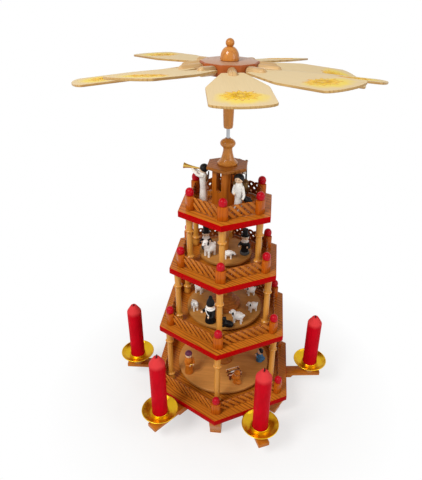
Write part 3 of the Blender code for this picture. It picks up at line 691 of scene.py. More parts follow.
def ball(centre, radii, lumps=0.0, sides=24):
    """A rounded lump, smooth or woolly."""
    points, faces = turned([(max(0.0, r), z) for r, z in bow((0, 0), (1, 1), 90, -90, sides // 2)], sides)
    shaped = []
    for point in points:
        grown = 1.0
        if lumps:
            grown += lumps * noise.noise(Vector(point) * 3.1 + Vector(centre) * 900)
        shaped.append(tuple(c + r * p * grown for c, r, p in zip(centre, radii, point)))
    return shaped, faces


def about_z(angle):
    return Matrix.Rotation(angle, 4, "Z")


def shifted(x, y, z):
    return Matrix.Translation((x, y, z))


def raised(height):
    return shifted(0, 0, height)


def standing(place, degrees, scale=1.0):
    return Matrix.Translation(place) @ about_z(math.radians(degrees)) @ Matrix.Scale(scale, 4)


def lathe(name, profile, sides, finish_name, foot, body, slot, node):
    """A turned piece on the shaft's axis, from its profile and the height of its foot."""
    shape = Shape().add(turned(profile, sides), finish_name, raised(foot))
    shape.keep(name, body, slot, node)


def pointing(start, end):
    """A matrix that puts a part's Z axis along the way from start to end."""
    way = Vector(end) - Vector(start)
    return Matrix.Translation(start) @ way.to_track_quat("Z", "Y").to_matrix().to_4x4()


def new_tree(name, output, **inputs):
    """An empty Geometry Nodes tree with one output. The inputs name the kinds of the other sockets."""
    tree = bpy.data.node_groups.new(name, "GeometryNodeTree")
    for label, kind in inputs.items():
        label = label.capitalize().replace("_", " ")
        tree.interface.new_socket(label, in_out="INPUT", socket_type=f"NodeSocket{kind}")
    tree.interface.new_socket(output, in_out="OUTPUT", socket_type="NodeSocketGeometry")
    return tree, Wiring(tree)


@cache
def ring_tree():
    """Copies of a part at even steps round the Z axis, each facing out."""
    tree, wiring = new_tree(
        "ring_of_copies", "Ring",
        part="Geometry", count="Int", radius="Float", first_angle="Float", finish="Material",
    )
    given = wiring.terms(wiring.node("NodeGroupInput"))
    share = wiring.out("GeometryNodeInputIndex") / given["Count"]
    angle = share * (2 * math.pi) + given["First angle"]
    across = wiring.math("COSINE", angle) * given["Radius"]
    along = wiring.math("SINE", angle) * given["Radius"]
    inputs = {"Count": given["Count"], "Position": wiring.combine(across, along)}
    spots = wiring.out("GeometryNodePoints", inputs)
    turn = wiring.out("FunctionNodeEulerToRotation", {0: wiring.combine(z=angle)})
    inputs = {"Points": spots, "Instance": given["Part"], "Rotation": turn}
    copies = wiring.out("GeometryNodeInstanceOnPoints", inputs)
    joined = wiring.out("GeometryNodeRealizeInstances", {0: copies})
    inputs = {"Geometry": joined, "Material": given["Finish"]}
    wiring.node("NodeGroupOutput", {0: wiring.out("GeometryNodeSetMaterial", inputs)})
    return tree


# How far each layer of slats lies from the middle of the panel, as a share of its thickness
LAYER_RELIEF = 0.38


@cache
def trellis_tree():
    """Two layers of slats that cross at right angles, cut level, in an upright panel along X."""
    tree, wiring = new_tree(
        "trellis_panel", "Panel", span="Float", height="Float", pitch="Float",
        slat_width="Float", slat_thickness="Float", finish="Material",
    )
    given = wiring.terms(wiring.node("NodeGroupInput"))
    thickness, width = given["Slat thickness"], given["Slat width"]
    half = given["Span"] / 2.0
    half_height = given["Height"] / 2.0
    step = given["Pitch"] * math.sqrt(2)
    count = wiring.math("FLOOR", (given["Span"] + given["Height"]) / step) + 1.0
    first = (count - 1.0) * (step * -0.5)
    middle = first + wiring.out("GeometryNodeInputIndex") * step
    left = wiring.math("MAXIMUM", middle - half_height, half * -1.0)
    right = wiring.math("MINIMUM", middle + half_height, half)
    centre = (left + right) / 2.0
    across = right - left
    size = wiring.combine(width * math.sqrt(2), thickness, 1.0)
    bar = wiring.out("GeometryNodeMeshCube", {"Size": size})
    where = wiring.split(wiring.out("GeometryNodeInputPosition"))
    grain = wiring.combine(where[2], where[1], where[0])
    layers = wiring.node("GeometryNodeJoinGeometry")
    # Upright bars that a sideways shift makes lean. The inner layer ends a little lower
    for lean, trim in ((1.0, 0.97), (-1.0, 1.0)):
        place = wiring.combine(middle, thickness * (LAYER_RELIEF * lean), (centre - middle) * lean)
        inputs = {
            "Points": wiring.out("GeometryNodePoints", {"Count": count, "Position": place}),
            "Selection": wiring.math("GREATER_THAN", across, width),
            "Instance": bar,
            "Scale": wiring.combine(1.0, 1.0, across * trim),
        }
        copies = wiring.out("GeometryNodeInstanceOnPoints", inputs)
        upright = wiring.out("GeometryNodeRealizeInstances", {0: copies})
        inputs = {"Geometry": upright, "Name": "local", "Value": grain}
        kinds = {"data_type": "FLOAT_VECTOR", "domain": "POINT"}
        grained = wiring.out("GeometryNodeStoreNamedAttribute", inputs, **kinds)
        inputs = {"Geometry": grained, "Offset": wiring.combine(where[2] * lean)}
        wiring.feed(layers.inputs[0], wiring.out("GeometryNodeSetPosition", inputs))
    inputs = {"Geometry": wiring.terms(layers)[0], "Material": given["Finish"]}
    wiring.node("NodeGroupOutput", {0: wiring.out("GeometryNodeSetMaterial", inputs)})
    return tree


def grow(obj, tree, **values):
    """Adds a Geometry Nodes modifier and sets its inputs by their identifiers."""
    modifier = obj.modifiers.new(tree.name, "NODES")
    modifier.node_group = tree
    for item in tree.interface.items_tree:
        key = item.name.lower().replace(" ", "_")
        if item.in_out == "INPUT" and key in values:
            modifier[item.identifier] = values[key]


def ring_of(obj, finish_name, radius, turn=0.0):
    """A copy for each corner of the hexagon, turned on from it."""
    inputs = {"count": len(CORNERS), "radius": radius, "first_angle": CORNERS[0] + turn}
    grow(obj, ring_tree(), finish=finish(finish_name), **inputs)
    return settled(obj)


def soften(obj, width, segments=2):
    modifier = obj.modifiers.new("Soften", "BEVEL")
    modifier.width = width
    modifier.segments = segments
    modifier.limit_method = "ANGLE"
    modifier.angle_limit = SOFTENED_ANGLE
    settled(obj)
    obj.data.shade_smooth()
    obj.data.set_sharp_from_angle(angle=SHARP_ANGLE)
    return obj


def cut(obj, tools):
    """Cuts the tools out of a piece and removes them."""
    for tool in tools:
        modifier = obj.modifiers.new("Cut", "BOOLEAN")
        modifier.operation = "DIFFERENCE"
        modifier.solver = "EXACT"
        modifier.object = tool
    settled(obj)
    for tool in tools:
        bpy.data.objects.remove(tool)


def weld(obj):
    """Joins the parts of a piece along their shared edges."""
    modifier = obj.modifiers.new("Weld", "WELD")
    modifier.merge_threshold = WELD_DISTANCE
    return settled(obj)


TIER_NODES = ("base_plate", "tier_plate_2", "tier_plate_3", "tier_plate_4")
PLATE_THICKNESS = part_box("base_plate")[1].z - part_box("base_plate")[0].z
PLATE_TOPS = [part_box(node)[1].z for node in TIER_NODES]
PLATE_RADII = [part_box(node)[1].y for node in TIER_NODES]
DISC_TOPS = [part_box(node)[0].z - GAP for node in ("manger", "shepherd", "top_hat_man_1")]
# How far the edges of the boards are rounded
PLATE_EASE = LANTERN_EASE = 0.0004
POST_EASE = ARM_EASE = 0.0006
ROOF_EASE = FOOT_EASE = 0.0007
DISC_EASE = 0.0008
HUB_EASE = 0.0009
BLADE_EASE = ROD_EASE = 0.0003
SLAT_EASE = 0.00018
# Fences, and the columns that stand inside them
POST_HEIGHT = 0.0147
POST_DEPTH = 0.0076
POST_HALF_WIDTH = 0.0054
POST_SQUARENESS = 3.2
POST_CIRCLES = [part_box(f"balustrade_{tier}")[1].y - POST_DEPTH / 2 for tier in (1, 2, 3, 4)]
COLUMN_INSET = 0.0105
COLUMN_CIRCLES = [circle - COLUMN_INSET for circle in POST_CIRCLES[:3]]
PANEL_HEIGHT = 0.0136
PANEL_MIDDLE = 0.0072
PANEL_SHORTENED = 0.0078
FOOT_OGEE = 0.007
# Lantern, with the tools that cut its slots reaching right through it
SLOT_HALF_WIDTH = 0.003
SLOT_SILL = 0.0155
SLOT_TOOL_LENGTH = 0.06
SLOT_TOOL_EASE = 0.0001
ROOF_THICKNESS = 0.0032
# Holes on the axis and what turns in them
LANTERN_BORE = 0.0105
ROOF_BORE = 0.0037
DISC_BORE = 0.0038
CUP_BORE = 0.0043
SHAFT_BORE = 0.0055
SHAFT_RADIUS = 0.0035
ROD_RADIUS = 0.00175
ROD_BORE = 0.00205


class PYRAMID_OT_plates(Operator):
    """Four hexagonal plates with red rims"""

    bl_idname = "pyramid.plates"
    bl_label = "Plates"

    def execute(self, context):
        for node, radius, top in zip(TIER_NODES, PLATE_RADII, PLATE_TOPS):
            bore = CUP_BORE if node == "base_plate" else SHAFT_BORE
            faces, rim = pierced(hexagon(radius), bore, top - PLATE_THICKNESS, top, PLATE_EASE)
            top_grain = "quiet_plate_wood" if node == "tier_plate_4" else "plate_wood"
            shape = Shape().add(faces, top_grain).add(rim, "red_rim")
            shape.keep(f"{node}_board", "stand", "red_edged_plate", node)
        return {"FINISHED"}


class PYRAMID_OT_columns(Operator):
    """Six turned columns under each of the upper plates"""

    bl_idname = "pyramid.columns"
    bl_label = "Columns"

    def execute(self, context):
        for tier in (1, 2, 3):
            foot = PLATE_TOPS[tier - 1] + GAP
            head = PLATE_TOPS[tier] - PLATE_THICKNESS
            tall = (head - foot) / MM
            # Radius and height in millimetres: from the foot up, and from the head down
            line = [(3.9, 0), (4.3, 0.5), (4.35, 2.2), (3.9, 4.6), (3.5, 7.6)]
            line += [(3.6, 8.4), (4.4, 8.9), (4.7, 9.6), (4.4, 10.3), (3.5, 10.8), (3.1, 11.4)]
            line += [(3.0, 14.0), (3.15, tall * 0.5), (3.0, tall - 22.0)]
            head_line = [(3.1, -19.5), (3.5, -18.9), (4.4, -18.4), (4.7, -17.7), (4.4, -17.0), (3.5, -16.5)]
            head_line += [(3.4, -15.6), (3.55, -13.0), (3.75, -6.0), (4.0, -1.5), (4.15, 0)]
            line += [(radius, tall + height) for radius, height in head_line]
            profile = mm((0, tall), *reversed(line), (0, 0))
            shape = Shape().add(turned(profile, 32), "column_wood", raised(foot))
            obj = ring_of(shape.made(f"columns_{tier}"), "column_wood", COLUMN_CIRCLES[tier - 1])
            keep(obj, "stand", "honey_wood", TIER_NODES[tier])
        return {"FINISHED"}


class PYRAMID_OT_posts(Operator):
    """Posts of rounded section at the corners of each fence, with their crimson caps"""

    bl_idname = "pyramid.posts"
    bl_label = "Posts and caps"

    def execute(self, context):
        outline = []
        for angle in angles_round(40):
            c, s = polar(1, angle)
            swell = (abs(c) ** POST_SQUARENESS + abs(s) ** POST_SQUARENESS) ** (-1 / POST_SQUARENESS)
            outline.append((POST_DEPTH / 2 * c * swell, POST_HALF_WIDTH * s * swell))
        dome = [(3.3, 0), (3.9, 0.7), (4.25, 2.2), (4.3, 3.6), (3.95, 5.4), (3.1, 6.8), (1.9, 7.7)]
        dome += [(0.8, 8.0), (0, 8.05)]
        profile = [*reversed(flowing(mm(*dome), 3)), (0, 0)]
        for tier, circle in enumerate(POST_CIRCLES):
            floor = PLATE_TOPS[tier] + GAP
            post, cap = Shape(), Shape()
            post.board("post_wood", outline, POST_HEIGHT, POST_EASE, raised(floor + POST_HEIGHT / 2))
            cap.add(turned(profile, 28), "crimson_cap", raised(floor + POST_HEIGHT))
            for shape, name, finish_name in ((post, "posts", "post_wood"), (cap, "caps", "crimson_cap")):
                obj = ring_of(shape.made(f"{name}_{tier + 1}"), finish_name, circle)
                keep(obj, "stand", "honey_wood", f"balustrade_{tier + 1}")
        return {"FINISHED"}


class PYRAMID_OT_trellis(Operator):
    """Panels of crossed slats between the posts"""

    bl_idname = "pyramid.trellis"
    bl_label = "Trellis"

    def execute(self, context):
        fence = settings().fence
        for tier, circle in enumerate(POST_CIRCLES):
            panel = bpy.data.objects.new(f"trellis_{tier + 1}", bpy.data.meshes.new("trellis"))
            context.scene.collection.objects.link(panel)
            grow(
                panel,
                trellis_tree(),
                span=circle - PANEL_SHORTENED,
                height=PANEL_HEIGHT,
                pitch=fence.slat_pitch,
                slat_width=fence.slat_width,
                slat_thickness=fence.slat_thickness,
                finish=finish("slat_wood"),
            )
            settled(panel)
            soften(panel, SLAT_EASE, 1)
            panel.data.transform(raised(PLATE_TOPS[tier] + GAP + PANEL_MIDDLE) @ about_z(math.pi / 2))
            turn = math.radians(30)
            ring_of(panel, "slat_wood", circle * math.cos(turn), turn)
            keep(panel, "stand", "honey_wood", f"balustrade_{tier + 1}")
        return {"FINISHED"}


class PYRAMID_OT_feet(Operator):
    """Six bracket feet with an ogee at their outer end"""

    bl_idname = "pyramid.feet"
    bl_label = "Feet"

    def execute(self, context):
        low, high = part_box("foot_1")
        outer, inner, tall = -low.y, -high.y, high.z
        outline = [(inner + FOOT_OGEE, 0)]
        for k in range(19):
            share = 1 - k / 18
            outline.append((outer - FOOT_OGEE * swing(share), tall * (1 - share)))
        outline.append((inner, tall))
        for number, angle in enumerate(CORNERS, 1):
            shape = Shape(about_z(angle) @ STOOD_UP)
            shape.board("honey_wood", outline, high.x - low.x, FOOT_EASE)
            shape.keep(f"bracket_foot_{number}", "stand", "honey_wood", f"foot_{number}")
        return {"FINISHED"}


class PYRAMID_OT_lantern(Operator):
    """The lantern with its slots, its roof and the turned spire"""

    bl_idname = "pyramid.lantern"
    bl_label = "Lantern"

    def execute(self, context):
        low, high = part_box("lantern")
        walls, rim = pierced(hexagon(high.y), LANTERN_BORE, low.z, high.z, LANTERN_EASE)
        body = Shape().add(walls, "lantern_wood").add(rim, "lantern_wood").made("lantern_walls")
        half = SLOT_HALF_WIDTH
        slot = bow((0, low.z + SLOT_SILL + half), (half, half), 180, 360, 12)
        above = high.z * 1.05
        slot += [(half, above), (-half, above)]
        tools = []
        for degrees in (30, 90, 150):
            shape = Shape(about_z(math.radians(degrees)) @ STOOD_UP)
            shape.board("lantern_wood", slot, SLOT_TOOL_LENGTH, SLOT_TOOL_EASE)
            tools.append(shape.made("slot"))
        for obj in (body, *tools):
            weld(obj)
        cut(body, tools)
        keep(soften(body, LANTERN_EASE), "stand", "honey_wood", "lantern")

        low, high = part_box("lantern_roof")
        shape = Shape()
        foot = low.z + ROOF_THICKNESS
        for part in pierced(hexagon(high.y), ROOF_BORE, low.z, foot, ROOF_EASE):
            shape.add(part, "roof_wood")
        shape.keep("lantern_roof_board", "stand", "honey_wood", "lantern_roof")

        bore = ROD_BORE / MM
        ball_line = bow((0, 21.2), (7.6, 4.9), 68, -52, 14)
        cone = [(4.9, 17.0), (4.55, 15.6), (4.7, 13.6), (5.5, 9.6), (7.0, 5.4), (9.2, 2.6), (10.2, 1.6)]
        base = [(10.25, 0.9), (9.9, 0.2), (9.6, 0), (bore, 0)]
        profile = closed(mm((bore, 26.3), (2.9, 26.3), *ball_line, *flowing(cone, 4), *base))
        lathe("turned_spire", profile, 48, "turned_wood", foot, "stand", "honey_wood", "lantern_roof")
        return {"FINISHED"}


class PYRAMID_OT_shaft(Operator):
    """The wooden shaft, its steel rod and the bearing cup"""

    bl_idname = "pyramid.shaft"
    bl_label = "Shaft"

    def execute(self, context):
        low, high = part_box("centre_shaft")
        rod_foot, rod_top = (corner.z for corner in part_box("top_rod"))
        socket = rod_foot - GAP
        wood_foot = PLATE_TOPS[0] + 2 * GAP
        rim, ease = 0.0032, 0.0004
        profile = [(0, socket), (ROD_BORE, socket), (ROD_BORE, high.z), (rim, high.z)]
        profile += [(SHAFT_RADIUS, high.z - ease), (SHAFT_RADIUS, wood_foot + ease), (rim, wood_foot)]
        profile += [(0.0017, wood_foot), (0, low.z)]
        lathe("wooden_shaft", profile, 28, "turned_wood", 0, "rotor", "honey_wood", "centre_shaft")
        rod = [(0, rod_top), (ROD_RADIUS, rod_top), (ROD_RADIUS, rod_foot), (0, rod_foot)]
        rod = eased(rod, ROD_EASE)
        lathe("steel_rod", rod, 28, "steel", 0, "rotor", "steel", "top_rod")
        low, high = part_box("pivot_cup")
        cup = [(0, high.z - 0.0018), (0.0026, high.z), (0.0037, high.z), (0.004, high.z - 0.0003)]
        cup += [(0.004, low.z), (0, low.z)]
        lathe("bearing_cup", cup, 28, "steel", 0, "stand", "steel", "pivot_cup")
        return {"FINISHED"}


class PYRAMID_OT_discs(Operator):
    """Three figure discs, the lower two with a turned plinth"""

    bl_idname = "pyramid.discs"
    bl_label = "Discs"

    def execute(self, context):
        bore = DISC_BORE
        stairs = [(9.0, 14.4), (9.0, 9.8), (13.7, 9.6), (13.7, 5.0), (18.5, 4.8), (18.5, 0.3), (18.2, 0)]
        cone = [(8.2, 18.0), (8.6, 17.4), (9.2, 14.0), (10.4, 12.6), (10.6, 10.6), (9.8, 9.0), (11.0, 4.0)]
        cone += [(12.0, 2.4), (12.0, 0)]
        plinths = [flowing(mm(*cone), 3), eased(mm(*stairs), 0.0009), []]
        for number, (top, plinth) in enumerate(zip(DISC_TOPS, plinths), 1):
            node = f"figure_disc_{number}"
            low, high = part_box(node)
            outline = [(bore, top), (high.x, top), (high.x, low.z), (bore, low.z)]
            tone = "pale_board" if number == 1 else "tan_board"
            profile = closed([outline[0], *eased(outline, DISC_EASE)[1:]])
            lathe(f"figure_board_{number}", profile, 72, tone, 0, "rotor", "tan_board", node)
            if plinth:
                stepped = [(reach, height + top) for reach, height in plinth]
                profile = closed([(bore, stepped[0][1]), *stepped, (bore, top)])
                lathe(f"turned_plinth_{number}", profile, 56, "plinth_wood", 0, "rotor", "brown_wood", node)
        return {"FINISHED"}


def blade_matrix(number):
    """Where a blade lies: X out along its dowel from the wheel's axis, Z up through the blade."""
    joint = JOINTS[f"blade_{number}_pitch"]
    axis = Vector(joint["axis"]).normalized()
    azimuth = math.atan2(axis.y, axis.x)
    droop = -math.asin(axis.z)
    pitch = -math.radians(sum(joint["range_deg"]) / 2)
    turn = about_z(azimuth) @ Matrix.Rotation(droop, 4, "Y") @ Matrix.Rotation(pitch, 4, "X")
    return Matrix.Translation(joint["pos_m"]) @ turn @ shifted(-SHOULDER, 0, 0)


# A dowel's shoulder from the wheel's axis, and the flat of the hub behind it
SHOULDER = math.hypot(*JOINTS["blade_1_pitch"]["pos_m"][:2])
HUB_FLAT = SHOULDER - 0.0011
HUB_THICKNESS = 0.0103
HUB_PHASE = math.radians(-83)
DOWEL_RADIUS = 0.0042
DOWEL_LENGTH = 0.0205
TENON_RADIUS = 0.003
TENON_LENGTH = 0.0082
TENON_SLACK = 0.0003
BLADE_THICKNESS = 0.0018
# From the shoulder to the blade's root, and from there to its widest place and the corners of its tip
BLADE_ROOT = 0.0072
BLADE_WIDEST = 0.0493
BLADE_CORNERS = 0.0951
BLADE_TIP_ARC = 0.009
# Half the blade's width at those three places
ROOT_HALF, WIDEST_HALF, CORNERS_HALF = 0.0097, 0.0243, 0.0237
# Heights over the middle of the blade: where the leaves of the star start, and the tops of petals and lines
LEAF_FOOT, PETAL_TOP, LINE_TOP = 0.0006, 0.00095, 0.00099
# The tools that cut the sockets end outside the hub, and the rod ends this far under its top
SOCKET_TOOL_END = 0.045
ROD_COVER = 0.0026


class PYRAMID_OT_hub(Operator):
    """The ten-sided hub with its sleeve and finial"""

    bl_idname = "pyramid.hub"
    bl_label = "Hub"

    def execute(self, context):
        low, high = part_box("wheel_hub")
        top = high.z
        bottom = top - HUB_THICKNESS
        corner = HUB_PHASE + math.pi / len(BLADES)
        outline = many_sided(HUB_FLAT, len(BLADES), 80, corner, corner)
        shape = Shape(raised((top + bottom) / 2))
        for part, finish_name in zip(slab(outline, top - bottom, HUB_EASE), ("hub_face", "brown_wood")):
            shape.add(part, finish_name)
        body = weld(shape.made("ten_sided_hub"))
        tools = []
        wide, deep = TENON_RADIUS + TENON_SLACK, SHOULDER - TENON_LENGTH - 2 * TENON_SLACK
        hole = [(0, SOCKET_TOOL_END), (wide, SOCKET_TOOL_END), (wide, deep), (0, deep)]
        hole = turned(hole, 24)
        for number in BLADES:
            tools.append(Shape().add(hole, "brown_wood", blade_matrix(number) @ LAID_OUT).made("socket"))
        rod_top, below = top - ROD_COVER, bottom - 0.01
        rod = [(0, rod_top), (ROD_BORE, rod_top), (ROD_BORE, below), (0, below)]
        tools.append(Shape().add(turned(rod, 24), "brown_wood").made("rod_bore"))
        cut(body, tools)
        body.data.set_sharp_from_angle(angle=SHARP_ANGLE)
        keep(body, "rotor", "brown_wood", "wheel_hub")

        bore = ROD_BORE / MM
        tall = (bottom - low.z) / MM
        line = [(bore, tall), (5.6, tall), (5.6, tall - 1.2), (5.2, tall - 2.2), (5.3, tall * 0.5)]
        line += [(5.2, tall * 0.3), (4.75, 3.2), (4.5, 1.0), (4.1, 0.2), (3.6, 0), (bore, 0)]
        profile = closed(mm(*line))
        lathe("turned_sleeve", profile, 40, "turned_wood", low.z, "rotor", "brown_wood", "wheel_hub")

        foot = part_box("finial")[0].z
        knob = [(max(0, radius), height) for radius, height in bow((0, 14.5), (3.95, 3.9), 90, -48, 14)]
        dome = [(2.8, 11.45), (3.4, 11.25), (4.9, 10.4), (6.6, 8.6), (7.9, 6.0), (8.5, 3.2), (8.6, 1.2)]
        dome += [(8.4, 0.2), (8.2, 0)]
        profile = mm(*knob, *flowing(dome, 4), (0, 0))
        lathe("turned_finial", profile, 44, "turned_wood", foot, "rotor", "honey_wood", "finial")
        return {"FINISHED"}


def star(reach):
    """The straw star: two rings of broad pointed petals, with fine lines down and across each petal."""
    petals, lines = [], []

    def strip(start, end, half):
        side = (end - start).normalized().orthogonal() * half
        return [start - side, end - side, end + side, start + side]

    for k, angle in enumerate(angles_round(32)):
        along = Vector(polar(1, angle))
        out = reach * (1.0, 0.62, 0.86, 0.62)[k % 4]
        side = Vector((-along.y, along.x)) * (reach * (0.12, 0.06, 0.11, 0.06)[k % 4])
        widest = along * out * 0.66
        petals.append([along * 0.0004, widest - side, along * out, widest + side])
        if k % 2 == 0:
            lines.append(strip(along * out * 0.2, along * out * 0.55, 0.00012))
            for way in (-1, 1):
                lines.append(strip(widest + side * way, along * out * 0.98, 0.00014))
    return petals, lines


# A thin leaf of four corners: its underside, its top and its four edges
LEAF_FACES = [[3, 2, 1, 0], [4, 5, 6, 7], *([k, (k + 1) % 4, 4 + (k + 1) % 4, 4 + k] for k in range(4))]


class PYRAMID_OT_blades(Operator):
    """Ten pale blades with their dowels and painted stars"""

    bl_idname = "pyramid.blades"
    bl_label = "Blades"

    def execute(self, context):
        wheel = settings().wheel
        root = SHOULDER + BLADE_ROOT
        end = bow((root + BLADE_CORNERS, 0), (BLADE_TIP_ARC, CORNERS_HALF), -90, 90, 24)
        side = eased([(root, -ROOT_HALF), (root + BLADE_WIDEST, -WIDEST_HALF), end[0]], 0.004, 4)
        outline = [*side, *end[1:-1], *((x, -y) for x, y in reversed(side))]
        round_end = bow((0, SHOULDER + DOWEL_LENGTH - DOWEL_RADIUS), (DOWEL_RADIUS, DOWEL_RADIUS), 90, 0, 8)
        tenon_end = SHOULDER - TENON_LENGTH
        profile = [*round_end, (DOWEL_RADIUS, SHOULDER + 0.0004), (0.0039, SHOULDER)]
        profile += [(TENON_RADIUS, SHOULDER), (TENON_RADIUS, tenon_end), (0, tenon_end)]
        upright, dowel_faces = turned([(max(0.0, radius), height) for radius, height in profile], 28)
        dowel = [tuple(LAID_OUT @ Vector(point)) for point in upright], dowel_faces
        petals, lines = star(wheel.star_reach)
        parts = list(zip(slab(outline, BLADE_THICKNESS, BLADE_EASE), ("pale_blade", "blade_edge")))
        for top, leaves, tone in ((PETAL_TOP, petals, "gold_star"), (LINE_TOP, lines, "amber_line")):
            for leaf in leaves:
                points = [(wheel.star_place + p.x, p.y, z) for z in (LEAF_FOOT, top) for p in leaf]
                parts.append(((points, LEAF_FACES), tone))
        parts.append((dowel, "dowel_wood"))
        for number in BLADES:
            shape = Shape(blade_matrix(number))
            for part, finish_name in parts:
                shape.add(part, finish_name)
            shape.keep(f"painted_blade_{number}", f"wheel_blade_{number}", "pale_blade", f"blade_{number}")
        return {"FINISHED"}


def foot_of(node):
    """The middle of a node's underside."""
    low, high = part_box(node)
    return Vector(((low.x + high.x) / 2, (low.y + high.y) / 2, low.z))


def arm_place(number):
    """The arm's pivot, the way it points and how far out its candle stands."""
    pivot = Vector(JOINTS[f"arm_{number}_swivel"]["pos_m"])
    low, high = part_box(f"candle_{number}")
    way = (low + high) / 2 - pivot
    way.z = 0
    return pivot, math.atan2(way.y, way.x), way.length


ARM_THIN, ARM_THICK, ARM_WIDTH = 0.0046, 0.0076, 0.0128
ARM_BACK = -0.009  # the arm's root, behind its pivot
ARM_STEP = 0.0337  # where the thick root ends, out from the pivot
ARM_PAST_CANDLE = 0.0132
HOLDER_HEIGHT = 11.7  # in millimetres, as in its profile


class PYRAMID_OT_arms(Operator):
    """Six swivelling arms with their flared candle holders"""

    bl_idname = "pyramid.arms"
    bl_label = "Candle arms"

    def execute(self, context):
        flare = [(8.2, HOLDER_HEIGHT), (8.6, 11.3), (8.5, 10.6), (7.6, 8.8), (6.4, 6.0), (5.8, 3.2)]
        flare += [(5.9, 1.4), (6.3, 0.5), (6.3, 0)]
        profile = mm((0, HOLDER_HEIGHT), *flowing(flare, 3), (5.8, -0.5), (0, -0.5))
        ogee = []
        for k in range(11):
            share = k / 10
            fall = (ARM_THICK - ARM_THIN) * swing(share)
            ogee.append((ARM_STEP + 0.003 * (1 - share), -ARM_THIN - fall))
        for number in ARMS:
            pivot, facing, reach = arm_place(number)
            end = reach + ARM_PAST_CANDLE
            outline = [(ARM_BACK, -ARM_THICK), *reversed(ogee), (end, -ARM_THIN), (end, 0), (ARM_BACK, 0)]
            shape = Shape(Matrix.Translation(pivot) @ about_z(facing))
            shape.board("honey_wood", outline, ARM_WIDTH, ARM_EASE, STOOD_UP)
            shape.add(turned(profile, 40), "turned_wood", shifted(reach, 0, 0))
            shape.keep(f"swivel_arm_{number}", f"arm_{number}", "honey_wood", f"candle_arm_{number}")
        return {"FINISHED"}


class PYRAMID_OT_dishes(Operator):
    """Brass drip dishes with a rolled rim and a collar for the candle"""

    bl_idname = "pyramid.dishes"
    bl_label = "Drip dishes"

    def execute(self, context):
        collar = [(0, 0.8), (8.8, 0.8), (8.8, 3.0), (9.0, 3.2), (9.35, 3.2), (9.55, 3.0)]
        inside = [(9.6, 0.8), (12.0, 1.25), (14.8, 2.3), (17.2, 3.8), (18.9, 5.2)]
        rim = bow((19.45, 5.15), (0.65, 0.5), 170, -60, 8)
        under = [(18.2, 3.6), (16.2, 2.1), (13.6, 0.95), (11.2, 0.35), (9.0, 0.0)]
        profile = mm(*collar, *flowing(inside, 4), *rim, *flowing(under, 4), (0, 0))
        for number in ARMS:
            node = f"drip_dish_{number}"
            shape = Shape().add(turned(profile, 72), "brass", Matrix.Translation(foot_of(node)))
            shape.keep(f"spun_dish_{number}", f"arm_{number}", "brass", node)
        return {"FINISHED"}


LONG_WICKS = (1, 6)
SEATED_HEIGHT = 0.004  # the foot of a candle, which no dent may loosen in its collar


class PYRAMID_OT_candles(Operator):
    """Red candles with a coned top and a burnt wick"""

    bl_idname = "pyramid.candles"
    bl_label = "Candles"

    def execute(self, context):
        wick = settings().candle.wick_height
        cone = [(0, -0.9), (1.0, -0.7), (2.2, -0.1), (3.2, -0.1), (3.8, -0.8), (5.6, -3.6), (7.6, -6.8)]
        cone = flowing([*cone, (8.35, -8.3), (8.5, -9.6)], 4)
        for number in ARMS:
            low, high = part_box(f"candle_{number}")
            tip = Vector((*((low + high) / 2).xy, high.z))
            tall = (high.z - low.z) / MM
            body = [(8.5, -22), (8.45, -tall * 0.5), (8.5, 12 - tall), (8.5, 0.4 - tall)]
            body += [(8.1, -tall), (0, -tall)]
            points, faces = turned(mm(*cone, *body), 48)
            shaped = []
            for x, y, z in points:
                spot = Vector((x, y, z * 0.5)) * 160 + Vector((number * 7.3, 0, 0))
                dent = min(1 + 0.02 * noise.noise(spot), 1.0)
                if z < SEATED_HEIGHT - tall * MM:
                    dent = 1.0
                shaped.append((x * dent, y * dent, z))
            shape = Shape().add((shaped, faces), "red_wax", Matrix.Translation(tip))
            lean = math.radians(70 * number)
            foot = tip - Vector((0, 0, 0.0011))
            bend = Vector((math.cos(lean), math.sin(lean), 0)) * 0.0012
            up = Vector((0, 0, wick if number in LONG_WICKS else wick * 0.675))
            line = flowing([foot, foot + up * 0.45, foot + up * 0.8 + bend * 0.4, foot + up + bend], 4)
            shape.add(tube(line, [0.00062] * (len(line) - 2) + [0.0005, 0.00025], 10), "burnt_wick")
            shape.keep(f"wax_candle_{number}", f"arm_{number}", "red_wax", f"candle_{number}")
        return {"FINISHED"}


# Thickness of wings and crib planks, and how far their edges are rounded
THIN_BOARD, THIN_EASE = 0.0009, 0.0002


